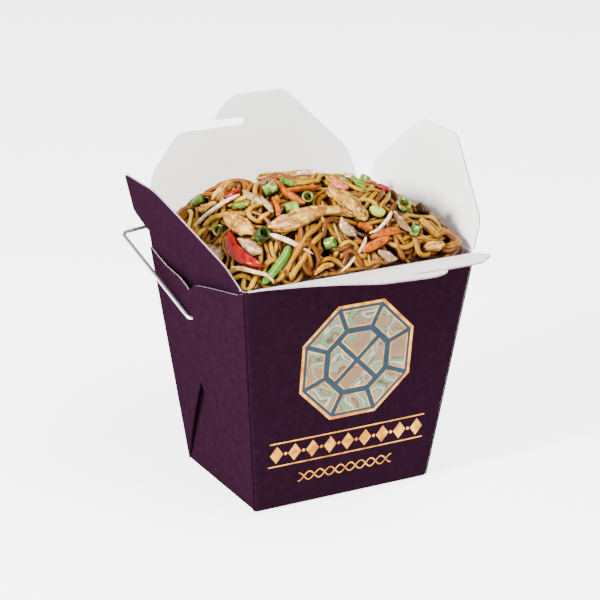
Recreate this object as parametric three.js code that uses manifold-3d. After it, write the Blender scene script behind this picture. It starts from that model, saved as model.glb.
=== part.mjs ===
// A wire-handled paperboard noodle pail, open and filled with stir-fried noodles.
// Millimetres. x runs along the front panel, y from front to back, z up from the table.

import * as THREE from 'three';
import { mergeVertices } from 'three/addons/utils/BufferGeometryUtils.js';
import Module from 'manifold-3d';

const wasm = await Module();
wasm.setup();

// Carton
const topWidth = 110;
const topDepth = 94;
const baseWidth = 85;
const baseDepth = 65;
const height = 107;
const board = 0.6;
const cornerRadius = 1.2;
const gap = 0.35;
const rimClear = 0.3;

// Side webs: the gussets between the panels, folded flat against each side panel
const webBow = 3.0;
const webNotchHeight = 93;
const webLapHeight = 86;
const webApexHeight = 50;

// Flaps
const creaseOut = 0.35;
const flapStart = 0.45;
const majorLean = { front: 70.8, back: 18.6 };
const minorLean = { left: 32.5, right: 12.5 };
const majorTop = 53.3;
const majorShoulder = [49.3, 23];
const majorTopRight = 21.2;
const hookTop = -3;
const hookBend = [-10.5, 51];
const hookTip = -15.6;
const slotMouth = -33.8;
const slotEnd = -2.6;
const slotLow = 39.7;
const slotHigh = 43;
const sideClear = 0.7;
const minorTop = [14.6, 44.5];
const minorHalfWidth = 45.6;
const minorShoulders = { left: [14.5, 12], right: [18, 14.5] };

// Wire bail
const wireRadius = 0.9;
const bailPivot = [0, 81];
const bailArm = 65;
const bailAngle = 18.5;
const bailHalfWidth = 61;
const bailArch = 5;
const hookLength = 3;
const holeRadius = 1.35;

// The balls that stand for a strip while the pile is laid, as a share of its thickness
const ballShare = 0.6;

// How far a topping slips to lie lower, and how much lower each millimetre has to take it
const slip = 2;
const slipStep = 1;
const slipCost = 0.5;
const slipLimit = [49, 42];

// Noodles
const heapRise = 29.5;
const heapTilt = -0.15;
const heapShift = -5;
const noodleRadius = 1.5;
const noodleLayer = 2.2;
const noodleSides = 5;
const noodleStep = 2.7;
const noodleSteps = 14;
const noodleReach = [51, 43.4];
const noodleRows = [-43, -38, -32, -20, -6, 10, 26, 39];
const noodleColumns = [-45, -32, -19, -6, 7, 20, 33, 45];
const noodleTries = 12;
const noodleSpread = 3.4;
const curls = [[1, -40, 1], [45, -38.5, 3], [23, -40, 2], [26, 12, 0], [-46, 14, 2]];
const noodleLift = 1.1;
const noodleSunk = -noodleRadius - 0.35;
const noodleClear = noodleRadius + gap + 0.4;
const noodleTuck = -0.6;
const noodleClimb = 0.7;
const sliver = 0.04;

const rad = THREE.MathUtils.degToRad;

const halfWidth = (z) => (baseWidth + (topWidth - baseWidth) * z / height) / 2;
const halfDepth = (z) => (baseDepth + (topDepth - baseDepth) * z / height) / 2;

// ---------------------------------------------------------------- solids

function solidOf(geometry) {
  const bare = geometry.clone();
  bare.deleteAttribute('normal');
  bare.deleteAttribute('uv');
  const merged = mergeVertices(bare, 1e-4);
  const vertProperties = new Float32Array(merged.attributes.position.array);
  const triVerts = new Uint32Array(merged.index.array);
  return new wasm.Manifold(new wasm.Mesh({ numProp: 3, vertProperties, triVerts }));
}

function geometryOf(solid) {
  const mesh = solid.getMesh();
  const geometry = new THREE.BufferGeometry();
  geometry.setAttribute('position', new THREE.BufferAttribute(mesh.vertProperties, 3));
  geometry.setIndex(new THREE.BufferAttribute(mesh.triVerts, 1));
  geometry.computeVertexNormals();
  return geometry;
}

// The one large body of a join: loose scraps and the skins of sealed hollows are left out.
function mainBody(solid) {
  const bodies = solid.decompose();
  return bodies.reduce((best, body) => (body.volume() > best.volume() ? body : best));
}

function mapPoints(geometry, place) {
  const points = geometry.attributes.position;
  const point = new THREE.Vector3();
  for (let i = 0; i < points.count; i += 1) {
    point.fromBufferAttribute(points, i);
    const moved = place(point);
    points.setXYZ(i, moved.x, moved.y, moved.z);
  }
  return geometry;
}

// A closed body through a row of stations. Each gives its centre, the direction it stands up in,
// and half its width and half its thickness.
function sweep(stations, sides) {
  const last = stations.length - 1;
  const frames = stations.map((station, i) => {
    const before = stations[Math.max(i - 1, 0)].at;
    const after = stations[Math.min(i + 1, last)].at;
    const along = after.clone().sub(before).normalize();
    const side = station.up.clone().cross(along).normalize();
    return { side, lift: along.cross(side) };
  });
  return mapPoints(new THREE.CylinderGeometry(1, 1, 1, sides, last), (point) => {
    const i = Math.round((0.5 - point.y) * last);
    const moved = stations[i].at.clone();
    moved.addScaledVector(frames[i].side, point.x * stations[i].halfWidth);
    return moved.addScaledVector(frames[i].lift, point.z * stations[i].halfThick);
  });
}

// ---------------------------------------------------------------- carton

// A block with the carton's slant, its sides a distance inside the outer faces.
function taperedBlock(inset, low, high) {
  const w = topWidth / 2 - inset;
  const d = topDepth / 2 - inset;
  const r = Math.max(cornerRadius - inset, 0.5);
  const outline = new THREE.Shape();
  outline.moveTo(-w + r, -d);
  outline.lineTo(w - r, -d);
  outline.absarc(w - r, -d + r, r, -Math.PI / 2, 0);
  outline.lineTo(w, d - r);
  outline.absarc(w - r, d - r, r, 0, Math.PI / 2);
  outline.lineTo(-w + r, d);
  outline.absarc(-w + r, d - r, r, Math.PI / 2, Math.PI);
  outline.lineTo(-w, -d + r);
  outline.absarc(-w + r, -d + r, r, Math.PI, Math.PI * 1.5);
  const block = new THREE.ExtrudeGeometry(outline, {
    depth: high - low, bevelEnabled: false, curveSegments: 3,
  });
  return solidOf(mapPoints(block, (point) => {
    point.z += low;
    point.x += Math.sign(point.x) * (halfWidth(point.z) - topWidth / 2);
    point.y += Math.sign(point.y) * (halfDepth(point.z) - topDepth / 2);
    return point;
  }));
}

// How far the webs stand off a side panel: most along its middle, nothing at the corner folds.
function webStandOff(y, z) {
  const across = y / (halfDepth(z) - 1.5);
  return Math.max(0, webBow * (1 - across * across));
}

// One web: its outline in (y, z), cut from a bowed sheet that the other web may pass under.
function web(side, points, lap) {
  const outline = new THREE.Shape(points.map(([y, z]) => new THREE.Vector2(y, z)));
  const cutter = new THREE.ExtrudeGeometry(outline, { depth: 40, bevelEnabled: false });
  const cut = solidOf(mapPoints(cutter, (point) => new THREE.Vector3(point.z + 30, point.x, point.y)));
  const sheet = new THREE.BoxGeometry(2, 2, 1, 1, 8, 4);
  const plate = solidOf(mapPoints(sheet, (point) => {
    const z = height * (point.z + 0.5);
    const y = point.y * (halfDepth(z) - 0.4);
    const layers = 1 + lap * THREE.MathUtils.smoothstep(y, -20, 0);
    const out = point.x < 0 ? -0.1 : board * layers;
    return new THREE.Vector3(halfWidth(z) + webStandOff(y, z) + out, y, z);
  }));
  const whole = plate.intersect(cut);
  return side < 0 ? whole.mirror([1, 0, 0]) : whole;
}

function carton() {
  let solid = taperedBlock(0, 0, height - rimClear);
  solid = solid.subtract(taperedBlock(board, board, height + 5));
  const corner = (z) => halfDepth(z) - 0.5;
  const frontWeb = [
    [-corner(0), 0.4], [-26.5, 8], [-19, 22.5], [-11, 36], [0, webApexHeight], [14, 66],
    [14, webLapHeight], [-7, 98], [-25, 101.5], [-42, 104.3], [-corner(height), 106.2],
  ];
  const backWeb = [
    [corner(0), 0.4], [corner(99), 99], [25, 96.6], [10, 96.2], [1, webNotchHeight],
    [-6, 84], [-6, 62], [0, webApexHeight],
  ];
  for (const side of [-1, 1]) {
    solid = solid.add(web(side, backWeb, 0)).add(web(side, frontWeb, 1));
    const bore = new THREE.CylinderGeometry(holeRadius, holeRadius, 20, 12);
    bore.rotateZ(Math.PI / 2);
    bore.translate(side * halfWidth(bailPivot[1]), bailPivot[0], bailPivot[1]);
    solid = solid.subtract(solidOf(bore));
  }
  return geometryOf(mainBody(solid));
}

// ---------------------------------------------------------------- flaps

// A front or back flap: hooked tab and slot on its left, both edges sloping in from the shoulders.
function majorOutline() {
  const [shoulder, shoulderHeight] = majorShoulder;
  const foot = topWidth / 2 - sideClear;
  const slotRadius = (slotHigh - slotLow) / 2;
  const outline = new THREE.Shape();
  outline.moveTo(-foot, flapStart);
  outline.lineTo(foot, flapStart);
  outline.lineTo(shoulder, shoulderHeight);
  outline.lineTo(majorTopRight, majorTop);
  outline.lineTo(hookTop, majorTop);
  outline.quadraticCurveTo(...hookBend, hookTip, slotHigh);
  outline.lineTo(slotEnd, slotHigh);
  outline.absarc(slotEnd, slotLow + slotRadius, slotRadius, Math.PI / 2, -Math.PI / 2, true);
  outline.lineTo(slotMouth, slotLow);
  outline.lineTo(-shoulder, shoulderHeight);
  outline.closePath();
  return outline;
}

// A left or right flap, with the heights of its two shoulders.
function minorOutline([lowShoulder, highShoulder]) {
  const outline = new THREE.Shape();
  outline.moveTo(-minorHalfWidth, flapStart);
  outline.lineTo(minorHalfWidth, flapStart);
  outline.lineTo(minorHalfWidth, highShoulder);
  outline.lineTo(minorTop[0], minorTop[1]);
  outline.lineTo(-minorTop[0], minorTop[1]);
  outline.lineTo(-minorHalfWidth, lowShoulder);
  outline.closePath();
  return outline;
}

// A flap on its crease: turned about z to its panel, then leaning out by an angle from upright.
function addFlap(parent, name, outline, turn, out, lean) {
  const plate = new THREE.ExtrudeGeometry(outline, {
    depth: board, bevelEnabled: false, curveSegments: 4,
  });
  plate.translate(0, 0, -board / 2);
  const crease = new THREE.Group();
  crease.position.set(0, 0, height);
  crease.rotation.z = rad(turn);
  const flap = new THREE.Mesh(plate, cardMaterial());
  flap.name = name;
  flap.position.y = out + creaseOut;
  flap.rotation.x = Math.PI / 2 - rad(lean);
  crease.add(flap);
  parent.add(crease);
}

// ---------------------------------------------------------------- bail

// Points of a bent wire: each inner corner of the route becomes an arc of its own radius.
function bentRoute(corners, steps) {
  const points = [corners[0].at];
  for (let i = 1; i < corners.length - 1; i += 1) {
    const { at, radius } = corners[i];
    const back = corners[i - 1].at.clone().sub(at).normalize();
    const on = corners[i + 1].at.clone().sub(at).normalize();
    const half = back.angleTo(on) / 2;
    const reach = radius / Math.tan(half);
    const curve = new THREE.QuadraticBezierCurve3(
      at.clone().addScaledVector(back, reach), at, at.clone().addScaledVector(on, reach));
    points.push(...curve.getPoints(steps));
  }
  points.push(corners[corners.length - 1].at);
  return points;
}

function bail() {
  const angle = rad(bailAngle);
  const inPlane = (x, along) => new THREE.Vector3(
    x, bailPivot[0] + along * Math.cos(angle), bailPivot[1] + along * Math.sin(angle));
  const panel = halfWidth(bailPivot[1]);
  const inside = panel - board - gap - wireRadius;
  const outside = panel + webBow + 2 * board + gap + wireRadius;
  const half = [
    { at: inPlane(-inside, -hookLength) },
    { at: inPlane(-inside, 0), radius: 1.2 },
    { at: inPlane(-outside, 0), radius: 1.6 },
    { at: inPlane(-bailHalfWidth, bailArm), radius: 4 },
    { at: inPlane(-bailHalfWidth * 0.55, bailArm + bailArch * 0.8), radius: 40 },
  ];
  const mirrored = half.map(({ at, radius }) => (
    { at: new THREE.Vector3(-at.x, at.y, at.z), radius })).reverse();
  const up = new THREE.Vector3(0, -Math.sin(angle), Math.cos(angle));
  const crown = { at: inPlane(0, bailArm + bailArch), radius: 60 };
  const route = bentRoute([...half, crown, ...mirrored], 3);
  return sweep(route.map((at) => (
    { at, up, halfWidth: wireRadius, halfThick: wireRadius })), 8);
}

// ---------------------------------------------------------------- heap

const innerHalf = (half) => half - board - gap;

// The heap's top over the point (x, y): nearly level inside, steep near the walls, higher on the left.
function heapTop(x, y) {
  const s = THREE.MathUtils.clamp(x / innerHalf(topWidth / 2), -1, 1);
  const t = THREE.MathUtils.clamp(y / innerHalf(topDepth / 2), -1, 1);
  const shift = heapShift * (1 - t * t) / innerHalf(topDepth / 2);
  const across = 1 - Math.abs(s) ** (s < 0 ? 5 : 4);
  const through = 1 - Math.min(1, Math.abs(t - shift)) ** 2.5;
  return height - 0.5 + (heapRise * (1 + heapTilt * s) - noodleLayer) * across * through;
}

function heapNormal(x, y) {
  const step = 1;
  const slopeX = (heapTop(x + step, y) - heapTop(x - step, y)) / (2 * step);
  const slopeY = (heapTop(x, y + step) - heapTop(x, y - step)) / (2 * step);
  return new THREE.Vector3(-slopeX, -slopeY, 1).normalize();
}

function heapCore() {
  const inset = board + gap;
  const block = taperedBlock(inset, inset, height - 2);
  const cap = new THREE.BoxGeometry(2, 2, 1, 18, 14, 1);
  const capLow = height - 6;
  const crown = solidOf(mapPoints(cap, (point) => {
    const rim = point.z < 0 ? capLow : height - 0.5;
    const x = point.x * innerHalf(halfWidth(rim));
    const y = point.y * innerHalf(halfDepth(rim));
    return new THREE.Vector3(x, y, point.z < 0 ? capLow : heapTop(x, y));
  }));
  let core = block.add(crown);
  for (const side of [-1, 1]) {
    const recess = new THREE.CylinderGeometry(hookLength + 2, hookLength + 2, 8, 12);
    recess.rotateZ(Math.PI / 2);
    recess.translate(side * halfWidth(bailPivot[1]), bailPivot[0], bailPivot[1]);
    core = core.subtract(solidOf(recess));
  }
  return core;
}

// ---------------------------------------------------------------- toppings

// Balls that fill the pieces already laid, so that the next piece rests on them.
const laidBalls = [];

// The height above the heap's skin that a ball needs to clear the pieces already laid.
function clearHeight(x, y, radius) {
  const foot = new THREE.Vector3(x, y, heapTop(x, y));
  const normal = heapNormal(x, y);
  let height = radius + gap;
  for (const ball of laidBalls) {
    const reach = radius + ball.radius + gap;
    const offset = ball.at.clone().sub(foot);
    const along = offset.dot(normal);
    const apart = offset.lengthSq() - along * along;
    if (apart < reach * reach) {
      height = Math.max(height, along + Math.sqrt(reach * reach - apart));
    }
  }
  return height;
}

// A piece slips a few millimetres from where it is put to the place near by where it lies lowest.
function settle(feet, liftAt) {
  let best = { dx: 0, dy: 0, cost: Infinity };
  const outside = (dx, dy) => feet.some(([x, y]) => (
    Math.abs(x + dx) > Math.max(Math.abs(x), slipLimit[0]) ||
    Math.abs(y + dy) > Math.max(Math.abs(y), slipLimit[1])));
  for (let dx = -slip; dx <= slip; dx += slipStep) {
    for (let dy = -slip; dy <= slip; dy += slipStep) {
      const cost = outside(dx, dy) ? Infinity : liftAt(dx, dy) + slipCost * Math.hypot(dx, dy);
      if (cost < best.cost) best = { dx, dy, cost };
    }
  }
  return best;
}

// Stations of a strip that lies along a route over the heap and over the pieces under it.
function drapedStations(route, steps, profile, width, thick) {
  const plan = new THREE.CatmullRomCurve3(route.map(([x, y]) => new THREE.Vector3(x, y, 0)));
  const across = Math.max(1, Math.round(width / thick));
  const ball = thick * ballShare;
  const rows = plan.getSpacedPoints(steps).map((foot, i) => {
    const along = plan.getTangentAt(i / steps);
    const size = profile(i / steps);
    const sideways = new THREE.Vector3(-along.y, along.x, 0);
    const offsets = Array.from({ length: across }, (unused, k) => (k - (across - 1) / 2) * thick * size);
    return { foot, size, sideways, offsets };
  });
  const rowLift = ({ foot, sideways, offsets }, dx, dy) => Math.max(...offsets.map((offset) => (
    clearHeight(foot.x + dx + sideways.x * offset, foot.y + dy + sideways.y * offset, ball))));
  const { dx, dy } = settle(route, (x, y) => Math.max(...rows.map((row) => rowLift(row, x, y))));
  const slope = 0.6 * plan.getLength() / steps;
  const needed = rows.map((row) => rowLift(row, dx, dy));
  const lifts = needed.map((own, i) => (
    needed.reduce((most, other, j) => Math.max(most, other - Math.abs(i - j) * slope), own)));
  for (let i = 1; i < steps; i += 1) {
    lifts[i] = Math.max(lifts[i], (lifts[i - 1] + lifts[i + 1]) / 2);
  }
  return rows.map(({ foot, size, sideways, offsets }, i) => {
    const [x, y] = [foot.x + dx, foot.y + dy];
    const up = heapNormal(x, y);
    const at = new THREE.Vector3(x, y, heapTop(x, y)).addScaledVector(up, lifts[i]);
    for (const offset of offsets) {
      laidBalls.push({ at: at.clone().addScaledVector(sideways, offset), radius: ball });
    }
    return { at, up, halfWidth: width / 2 * size, halfThick: thick / 2 * Math.min(1, size + 0.2) };
  });
}

const blunt = (t) => 0.7 + 0.3 * Math.sin(Math.PI * t) ** 0.5;
const tapered = (t) => 0.35 + 0.65 * Math.sin(Math.PI * t) ** 0.7;
const sprout = (t) => 1 - 0.55 * t;
const ragged = (t) => 0.5 + 0.5 * Math.sin(Math.PI * t) ** 0.5 * (1 + 0.18 * Math.sin(13 * t + 1));

// Every kind of strip: sides and steps of its body, how its width runs, and its colour.
const kinds = {
  chicken: { sides: 6, steps: 7, profile: ragged, color: 0xd2a679, roughness: 0.55 },
  pepper: { sides: 6, steps: 7, profile: tapered, color: 0xc8200c, roughness: 0.3 },
  pink: { sides: 6, steps: 4, profile: tapered, color: 0xd98a78, roughness: 0.4 },
  green: { sides: 6, steps: 5, profile: blunt, color: 0x6f9c2f, roughness: 0.4 },
  leaf: { sides: 4, steps: 5, profile: tapered, color: 0x6d8f4a, roughness: 0.4 },
  pale: { sides: 6, steps: 4, profile: blunt, color: 0xc4cf8e, roughness: 0.4 },
  carrot: { sides: 4, steps: 6, profile: blunt, color: 0xdb6a24, roughness: 0.45 },
  sprout: { sides: 6, steps: 6, profile: sprout, color: 0xe9dfc8, roughness: 0.35 },
  onion: { sides: 4, steps: 5, profile: tapered, color: 0xd8c5ad, roughness: 0.3 },
  mushroom: { sides: 6, steps: 4, profile: blunt, color: 0x6b4a2c, roughness: 0.6 },
  egg: { sides: 5, steps: 4, profile: blunt, color: 0xe0a52e, roughness: 0.5 },
};

// Strips from the bottom of the pile up: name, kind, width, thickness and route over the heap.
const strips = [
  ['onion_left', 'onion', 6, 2.2, [[-49.5, -16], [-49.5, -20], [-49.5, -24]]],
  ['sprout_front_left', 'sprout', 3, 2.6, [[-50, -37], [-47, -40.5], [-43, -43], [-38, -43.8]]],
  ['bean', 'green', 5, 4, [[-30.5, -37.5], [-35, -40], [-39.5, -42], [-43.5, -43]]],
  ['pepper_curl', 'pepper', 6, 3, [[-46, -18], [-48, -21], [-49, -28], [-48, -35.5], [-43.5, -40.5]]],
  ['chicken_long', 'chicken', 8, 4, [[-36.5, -30], [-26, -30], [-16, -28.5], [-7, -28.5], [1, -31]]],
  ['chicken_shred', 'chicken', 8.5, 5, [[-42, -12], [-42, -18], [-42, -24], [-41, -29.5]]],
  ['chicken_short', 'chicken', 7.5, 4, [[-2, -19], [2, -23.5], [6, -28], [8.5, -33]]],
  ['onion_curl', 'onion', 6, 2, [[-44, -28], [-42.5, -32], [-40, -36]]],
  ['egg_front', 'egg', 3.6, 2.6, [[-13.5, -42], [-17, -43.5], [-21.5, -43.5]]],
  ['carrot_front', 'carrot', 5, 2.8, [[2.5, -41.5], [9, -39.5], [15, -38]]],
  ['carrot_right', 'carrot', 4.5, 2.6, [[17, -38.5], [20, -37], [24, -36]]],
  ['carrot_under', 'carrot', 3.6, 2.6, [[5.5, -34], [10, -35], [14, -34]]],
  ['onion_front', 'onion', 6, 1.8, [[9, -43], [13.5, -42.8], [18, -43]]],
  ['onion_violet', 'onion', 6, 1.8, [[-2.5, -31.5], [-1, -34.5], [1, -37.5]]],
  ['sprout_right', 'sprout', 3, 2.8, [[23, -29], [17.5, -33], [12, -36], [7, -37.5]]],
  ['sprout_centre', 'sprout', 3, 2.8, [[5, -37], [0.5, -40.5], [-4.5, -43], [-9, -43.5]]],
  ['onion_right', 'onion', 5, 1.8, [[24.5, -29], [26, -33], [27, -37]]],
  ['chicken_right', 'chicken', 5, 4, [[31.5, -42.5], [36.5, -42], [42, -41]]],
  ['egg_right', 'egg', 5, 3, [[36.5, -32.5], [38, -35.5], [39.5, -39]]],
  ['mushroom_right', 'mushroom', 6, 4, [[37.5, -27], [41, -25.5], [44, -23.5]]],
  ['stem_pale', 'pale', 6, 4.5, [[12.5, -29.5], [15.5, -30.5], [18.5, -32]]],
  ['carrot_left', 'carrot', 3.4, 2.6, [[-26.5, -19.5], [-28, -24], [-29, -28]]],
  ['carrot_top', 'carrot', 3.4, 2.6, [[-20, -3], [-19, -14], [-15, -25]]],
  ['carrot_cross', 'carrot', 3.4, 2.6, [[-19, -15.5], [-13, -14.5], [-7.5, -14.5]]],
  ['leaf_left', 'leaf', 6, 1.6, [[-9.5, 2], [-9.5, -2], [-10, -8]]],
  ['leaf_right', 'leaf', 6.5, 1.6, [[20, 1], [18, -7.5], [18, -14.5]]],
  ['onion_pink', 'pink', 6.5, 3, [[8.5, -6], [9, -11], [9.5, -16]]],
  ['pepper_right', 'pepper', 4.5, 3, [[24, -14.5], [26.5, -16.5], [28.5, -18.5]]],
  ['onion_top', 'onion', 5, 2, [[-33, -5], [-32.5, -11], [-32, -18.5]]],
  ['onion_petal', 'onion', 4, 1.6, [[-30.5, -18.5], [-30.5, -22], [-30.5, -26]]],
  ['chicken_back_a', 'chicken', 4.5, 3.4, [[-41, 10], [-37, 9], [-32, 12]]],
  ['chicken_back_b', 'chicken', 4, 2.6, [[-43, 11], [-42.5, 6], [-40, 2]]],
  ['pepper_left', 'pepper', 4, 2.4, [[-40, 1.5], [-37.5, -1], [-34.5, -2.5]]],
  ['pepper_low', 'pepper', 4, 2.4, [[-46.5, 6], [-45, 3], [-43.5, -1]]],
  ['leek_left', 'green', 4, 3.6, [[-44, 20], [-43, 17], [-42, 14]]],
  ['sprout_left', 'sprout', 3, 2.8, [[-50.5, 3], [-47.5, -2], [-43.5, -6], [-39.5, -9], [-34.5, -11]]],
  ['leaf_spring', 'leaf', 4, 1.8, [[-40.5, -11], [-38, -13.5], [-35.5, -16]]],
  ['chicken_rear', 'chicken', 8, 4, [[-14, 20], [-4, 23], [6, 22], [14, 18]]],
  ['pepper_rear', 'pepper', 6, 3, [[-30, 24], [-24, 30], [-15, 33]]],
  ['carrot_rear', 'carrot', 3.8, 2.8, [[10, 31], [20, 28], [28, 27]]],
  ['sprout_rear', 'sprout', 3, 2.8, [[-2, 8], [8, 10], [16, 6], [24, 4]]],
  ['sprout_front', 'sprout', 3.2, 2.8, [[-36, -34], [-29.5, -36], [-22, -40]]],
];

// Cut rings of spring onion: place on the heap, outer radius, length, and where the open end looks.
const rings = [
  ['ring_left', [-47.5, -16.5], 2.5, 4, [-0.2, -0.8, 0.5]],
  ['ring_dark', [-38.5, -31], 2.9, 4.2, [-0.5, -0.7, 0.5]],
  ['ring_upper_left', [-26.5, -14.5], 2.3, 5.6, [0.75, -0.15, 0.6]],
  ['ring_centre', [-14.5, -23.5], 2.5, 4, [0.3, -0.5, 0.8]],
  ['ring_middle', [-23, -27], 2.2, 5.4, [0.85, -0.4, 0.3]],
  ['ring_front', [-12, -39], 2.4, 4.5, [0.75, -0.6, 0.3]],
  ['ring_right', [30, -28], 2.8, 4.2, [-0.4, -0.6, 0.6]],
  ['ring_low_right', [30, -37], 2.2, 5, [0.3, -0.2, 0.9]],
  ['ring_back', [-38, 30], 2.6, 5, [0.8, -0.1, 0.6]],
  ['ring_rear', [4, 30], 2.7, 5, [0.3, 0.6, 0.7]],
  ['ring_rear_right', [40, 24], 2.6, 4.5, [0.6, 0.3, 0.7]],
];

function ringGeometry([, place, radius, length, look]) {
  const reach = Math.hypot(radius, length / 2) * 0.92;
  const { dx, dy } = settle([place], (x, y) => clearHeight(place[0] + x, place[1] + y, reach));
  const [x, y] = [place[0] + dx, place[1] + dy];
  const lift = clearHeight(x, y, reach);
  const at = new THREE.Vector3(x, y, heapTop(x, y)).addScaledVector(heapNormal(x, y), lift);
  laidBalls.push({ at, radius: reach });
  const bore = radius * 0.62;
  const section = [[bore, -length / 2], [radius, -length / 2], [radius, length / 2], [bore, length / 2]];
  const profile = section.map(([r, along]) => new THREE.Vector2(r, along));
  const ring = new THREE.LatheGeometry([...profile, profile[0]], 9);
  const axis = new THREE.Vector3(...look).normalize();
  ring.applyQuaternion(new THREE.Quaternion().setFromUnitVectors(new THREE.Vector3(0, 1, 0), axis));
  return ring.translate(at.x, at.y, at.z);
}

// ---------------------------------------------------------------- noodles

let seed = 5;

function draw(low, high) {
  seed = (seed * 16807) % 2147483647;
  return low + (high - low) * (seed / 2147483647);
}

const insideReach = (x, y) => [
  THREE.MathUtils.clamp(x, -noodleReach[0], noodleReach[0]),
  THREE.MathUtils.clamp(y, -noodleReach[1], noodleReach[1]),
];

// A wandering route over the heap that turns back where it nears a wall.
function wander(x, y) {
  const route = [];
  let heading = draw(0, 2 * Math.PI);
  const swing = draw(0.16, 0.32);
  const pace = draw(0.25, 0.5);
  const phase = draw(0, 2 * Math.PI);
  for (let i = 0; i <= noodleSteps; i += 1) {
    route.push([x, y]);
    heading += swing * Math.sin(pace * i + phase);
    const ahead = [x + noodleStep * Math.cos(heading), y + noodleStep * Math.sin(heading)];
    if (Math.abs(ahead[0]) > noodleReach[0] - 1 || Math.abs(ahead[1]) > noodleReach[1] - 1) {
      heading += 0.75 * Math.sin(Math.atan2(-y, -x) - heading);
    }
    [x, y] = insideReach(x + noodleStep * Math.cos(heading), y + noodleStep * Math.sin(heading));
  }
  return route;
}

// A tight curl, a turn and a half round a place on the heap.
function curl(x, y, start) {
  const turn = (2 * Math.PI) / 11;
  return Array.from({ length: 17 }, (unused, i) => {
    const reach = 4.2 + 0.16 * i;
    return insideReach(x + reach * Math.cos(start + turn * i), y + reach * Math.sin(start + turn * i));
  });
}

// A noodle lies in the heap's skin and dives under any topping that it would touch.
// Only its longest shown stretch is kept.
function noodleStations(route) {
  const phase = draw(0, 2 * Math.PI);
  const normals = route.map(([x, y]) => heapNormal(x, y));
  const lifts = route.map((point, i) => noodleLift * (1 + Math.sin(0.55 * i + phase)));
  const place = (i) => {
    const [x, y] = route[i];
    return new THREE.Vector3(x, y, heapTop(x, y)).addScaledVector(normals[i], lifts[i]);
  };
  for (let pass = 0; pass < 4; pass += 1) {
    for (let i = 0; i < lifts.length; i += 1) {
      const at = place(i);
      const buried = laidBalls.some((ball) => ball.at.distanceTo(at) < ball.radius + noodleClear);
      if (buried) lifts[i] = noodleSunk;
    }
    for (let i = 0; i < lifts.length; i += 1) {
      for (let j = 0; j < lifts.length; j += 1) {
        lifts[i] = Math.min(lifts[i], lifts[j] + Math.abs(i - j) * noodleStep * noodleClimb);
      }
    }
  }
  let best = [0, 0];
  let start = 0;
  for (let i = 0; i <= lifts.length; i += 1) {
    if (i === lifts.length || lifts[i] < -noodleLift) {
      if (i - start > best[1] - best[0]) best = [start, i];
      start = i + 1;
    }
  }
  const [from, to] = [Math.max(best[0] - 1, 0), Math.min(best[1] + 1, lifts.length)];
  lifts[from] = Math.min(lifts[from], noodleTuck);
  lifts[to - 1] = Math.min(lifts[to - 1], noodleTuck);
  return route.slice(from, to).map((point, k) => (
    { at: place(from + k), up: normals[from + k], halfWidth: noodleRadius, halfThick: noodleRadius }));
}

const bareStations = (stations, laid) => stations.filter(({ at }) => (
  !laid.some((other) => other.distanceTo(at) < noodleSpread)));

// Of a few noodles tried from one place, the one that covers most of the bare heap.
function bestNoodle(x, y, laid) {
  const gain = (stations) => 2 * bareStations(stations, laid).length - stations.length;
  const tries = Array.from({ length: noodleTries }, () => noodleStations(wander(x, y)));
  return tries.reduce((best, next) => (gain(next) > gain(best) ? next : best));
}

function noodleHeap() {
  const strands = curls.map(([x, y, start]) => noodleStations(curl(x, y, start)));
  const laid = strands.flat().map(({ at }) => at);
  for (const rowAt of noodleRows) {
    for (const columnAt of noodleColumns) {
      const stations = bestNoodle(columnAt + draw(-3, 3), rowAt + draw(-2, 2), laid);
      if (bareStations(stations, laid).length > 3) {
        strands.push(stations);
        laid.push(...stations.map(({ at }) => at));
      }
    }
  }
  const parts = [heapCore(), ...strands.map((stations) => solidOf(sweep(stations, noodleSides)))];
  const heap = wasm.Manifold.union(parts).asOriginal().simplify(sliver);
  return geometryOf(mainBody(heap));
}

// ---------------------------------------------------------------- assembly

function cardMaterial() {
  return new THREE.MeshStandardMaterial({ color: 0x3d1530, roughness: 0.6, metalness: 0 });
}

function addPart(parent, name, geometry, color, roughness, metalness = 0) {
  const material = new THREE.MeshStandardMaterial({ color, roughness, metalness });
  const mesh = new THREE.Mesh(geometry, material);
  mesh.name = name;
  parent.add(mesh);
}

const group = new THREE.Group();

addPart(group, 'carton', carton(), 0x3d1530, 0.6);
addFlap(group, 'flap_back', majorOutline(), 0, topDepth / 2, majorLean.back);
addFlap(group, 'flap_front', majorOutline(), 180, topDepth / 2, majorLean.front);
addFlap(group, 'flap_left', minorOutline(minorShoulders.left), 90, topWidth / 2, minorLean.left);
addFlap(group, 'flap_right', minorOutline(minorShoulders.right), -90, topWidth / 2, minorLean.right);
addPart(group, 'bail', bail(), 0xc9c9cc, 0.25, 1);

for (const [name, kind, width, thick, route] of strips) {
  const { sides, steps, profile, color, roughness } = kinds[kind];
  const stations = drapedStations(route, steps, profile, width, thick);
  addPart(group, name, sweep(stations, sides), color, roughness);
}
for (const ring of rings) {
  addPart(group, ring[0], ringGeometry(ring), 0x6fa13c, 0.4);
}

addPart(group, 'noodles', noodleHeap(), 0xc7924f, 0.45);

export default group;
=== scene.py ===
"""A wire-handled board pail of stir-fried noodles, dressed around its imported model."""

import math

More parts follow.
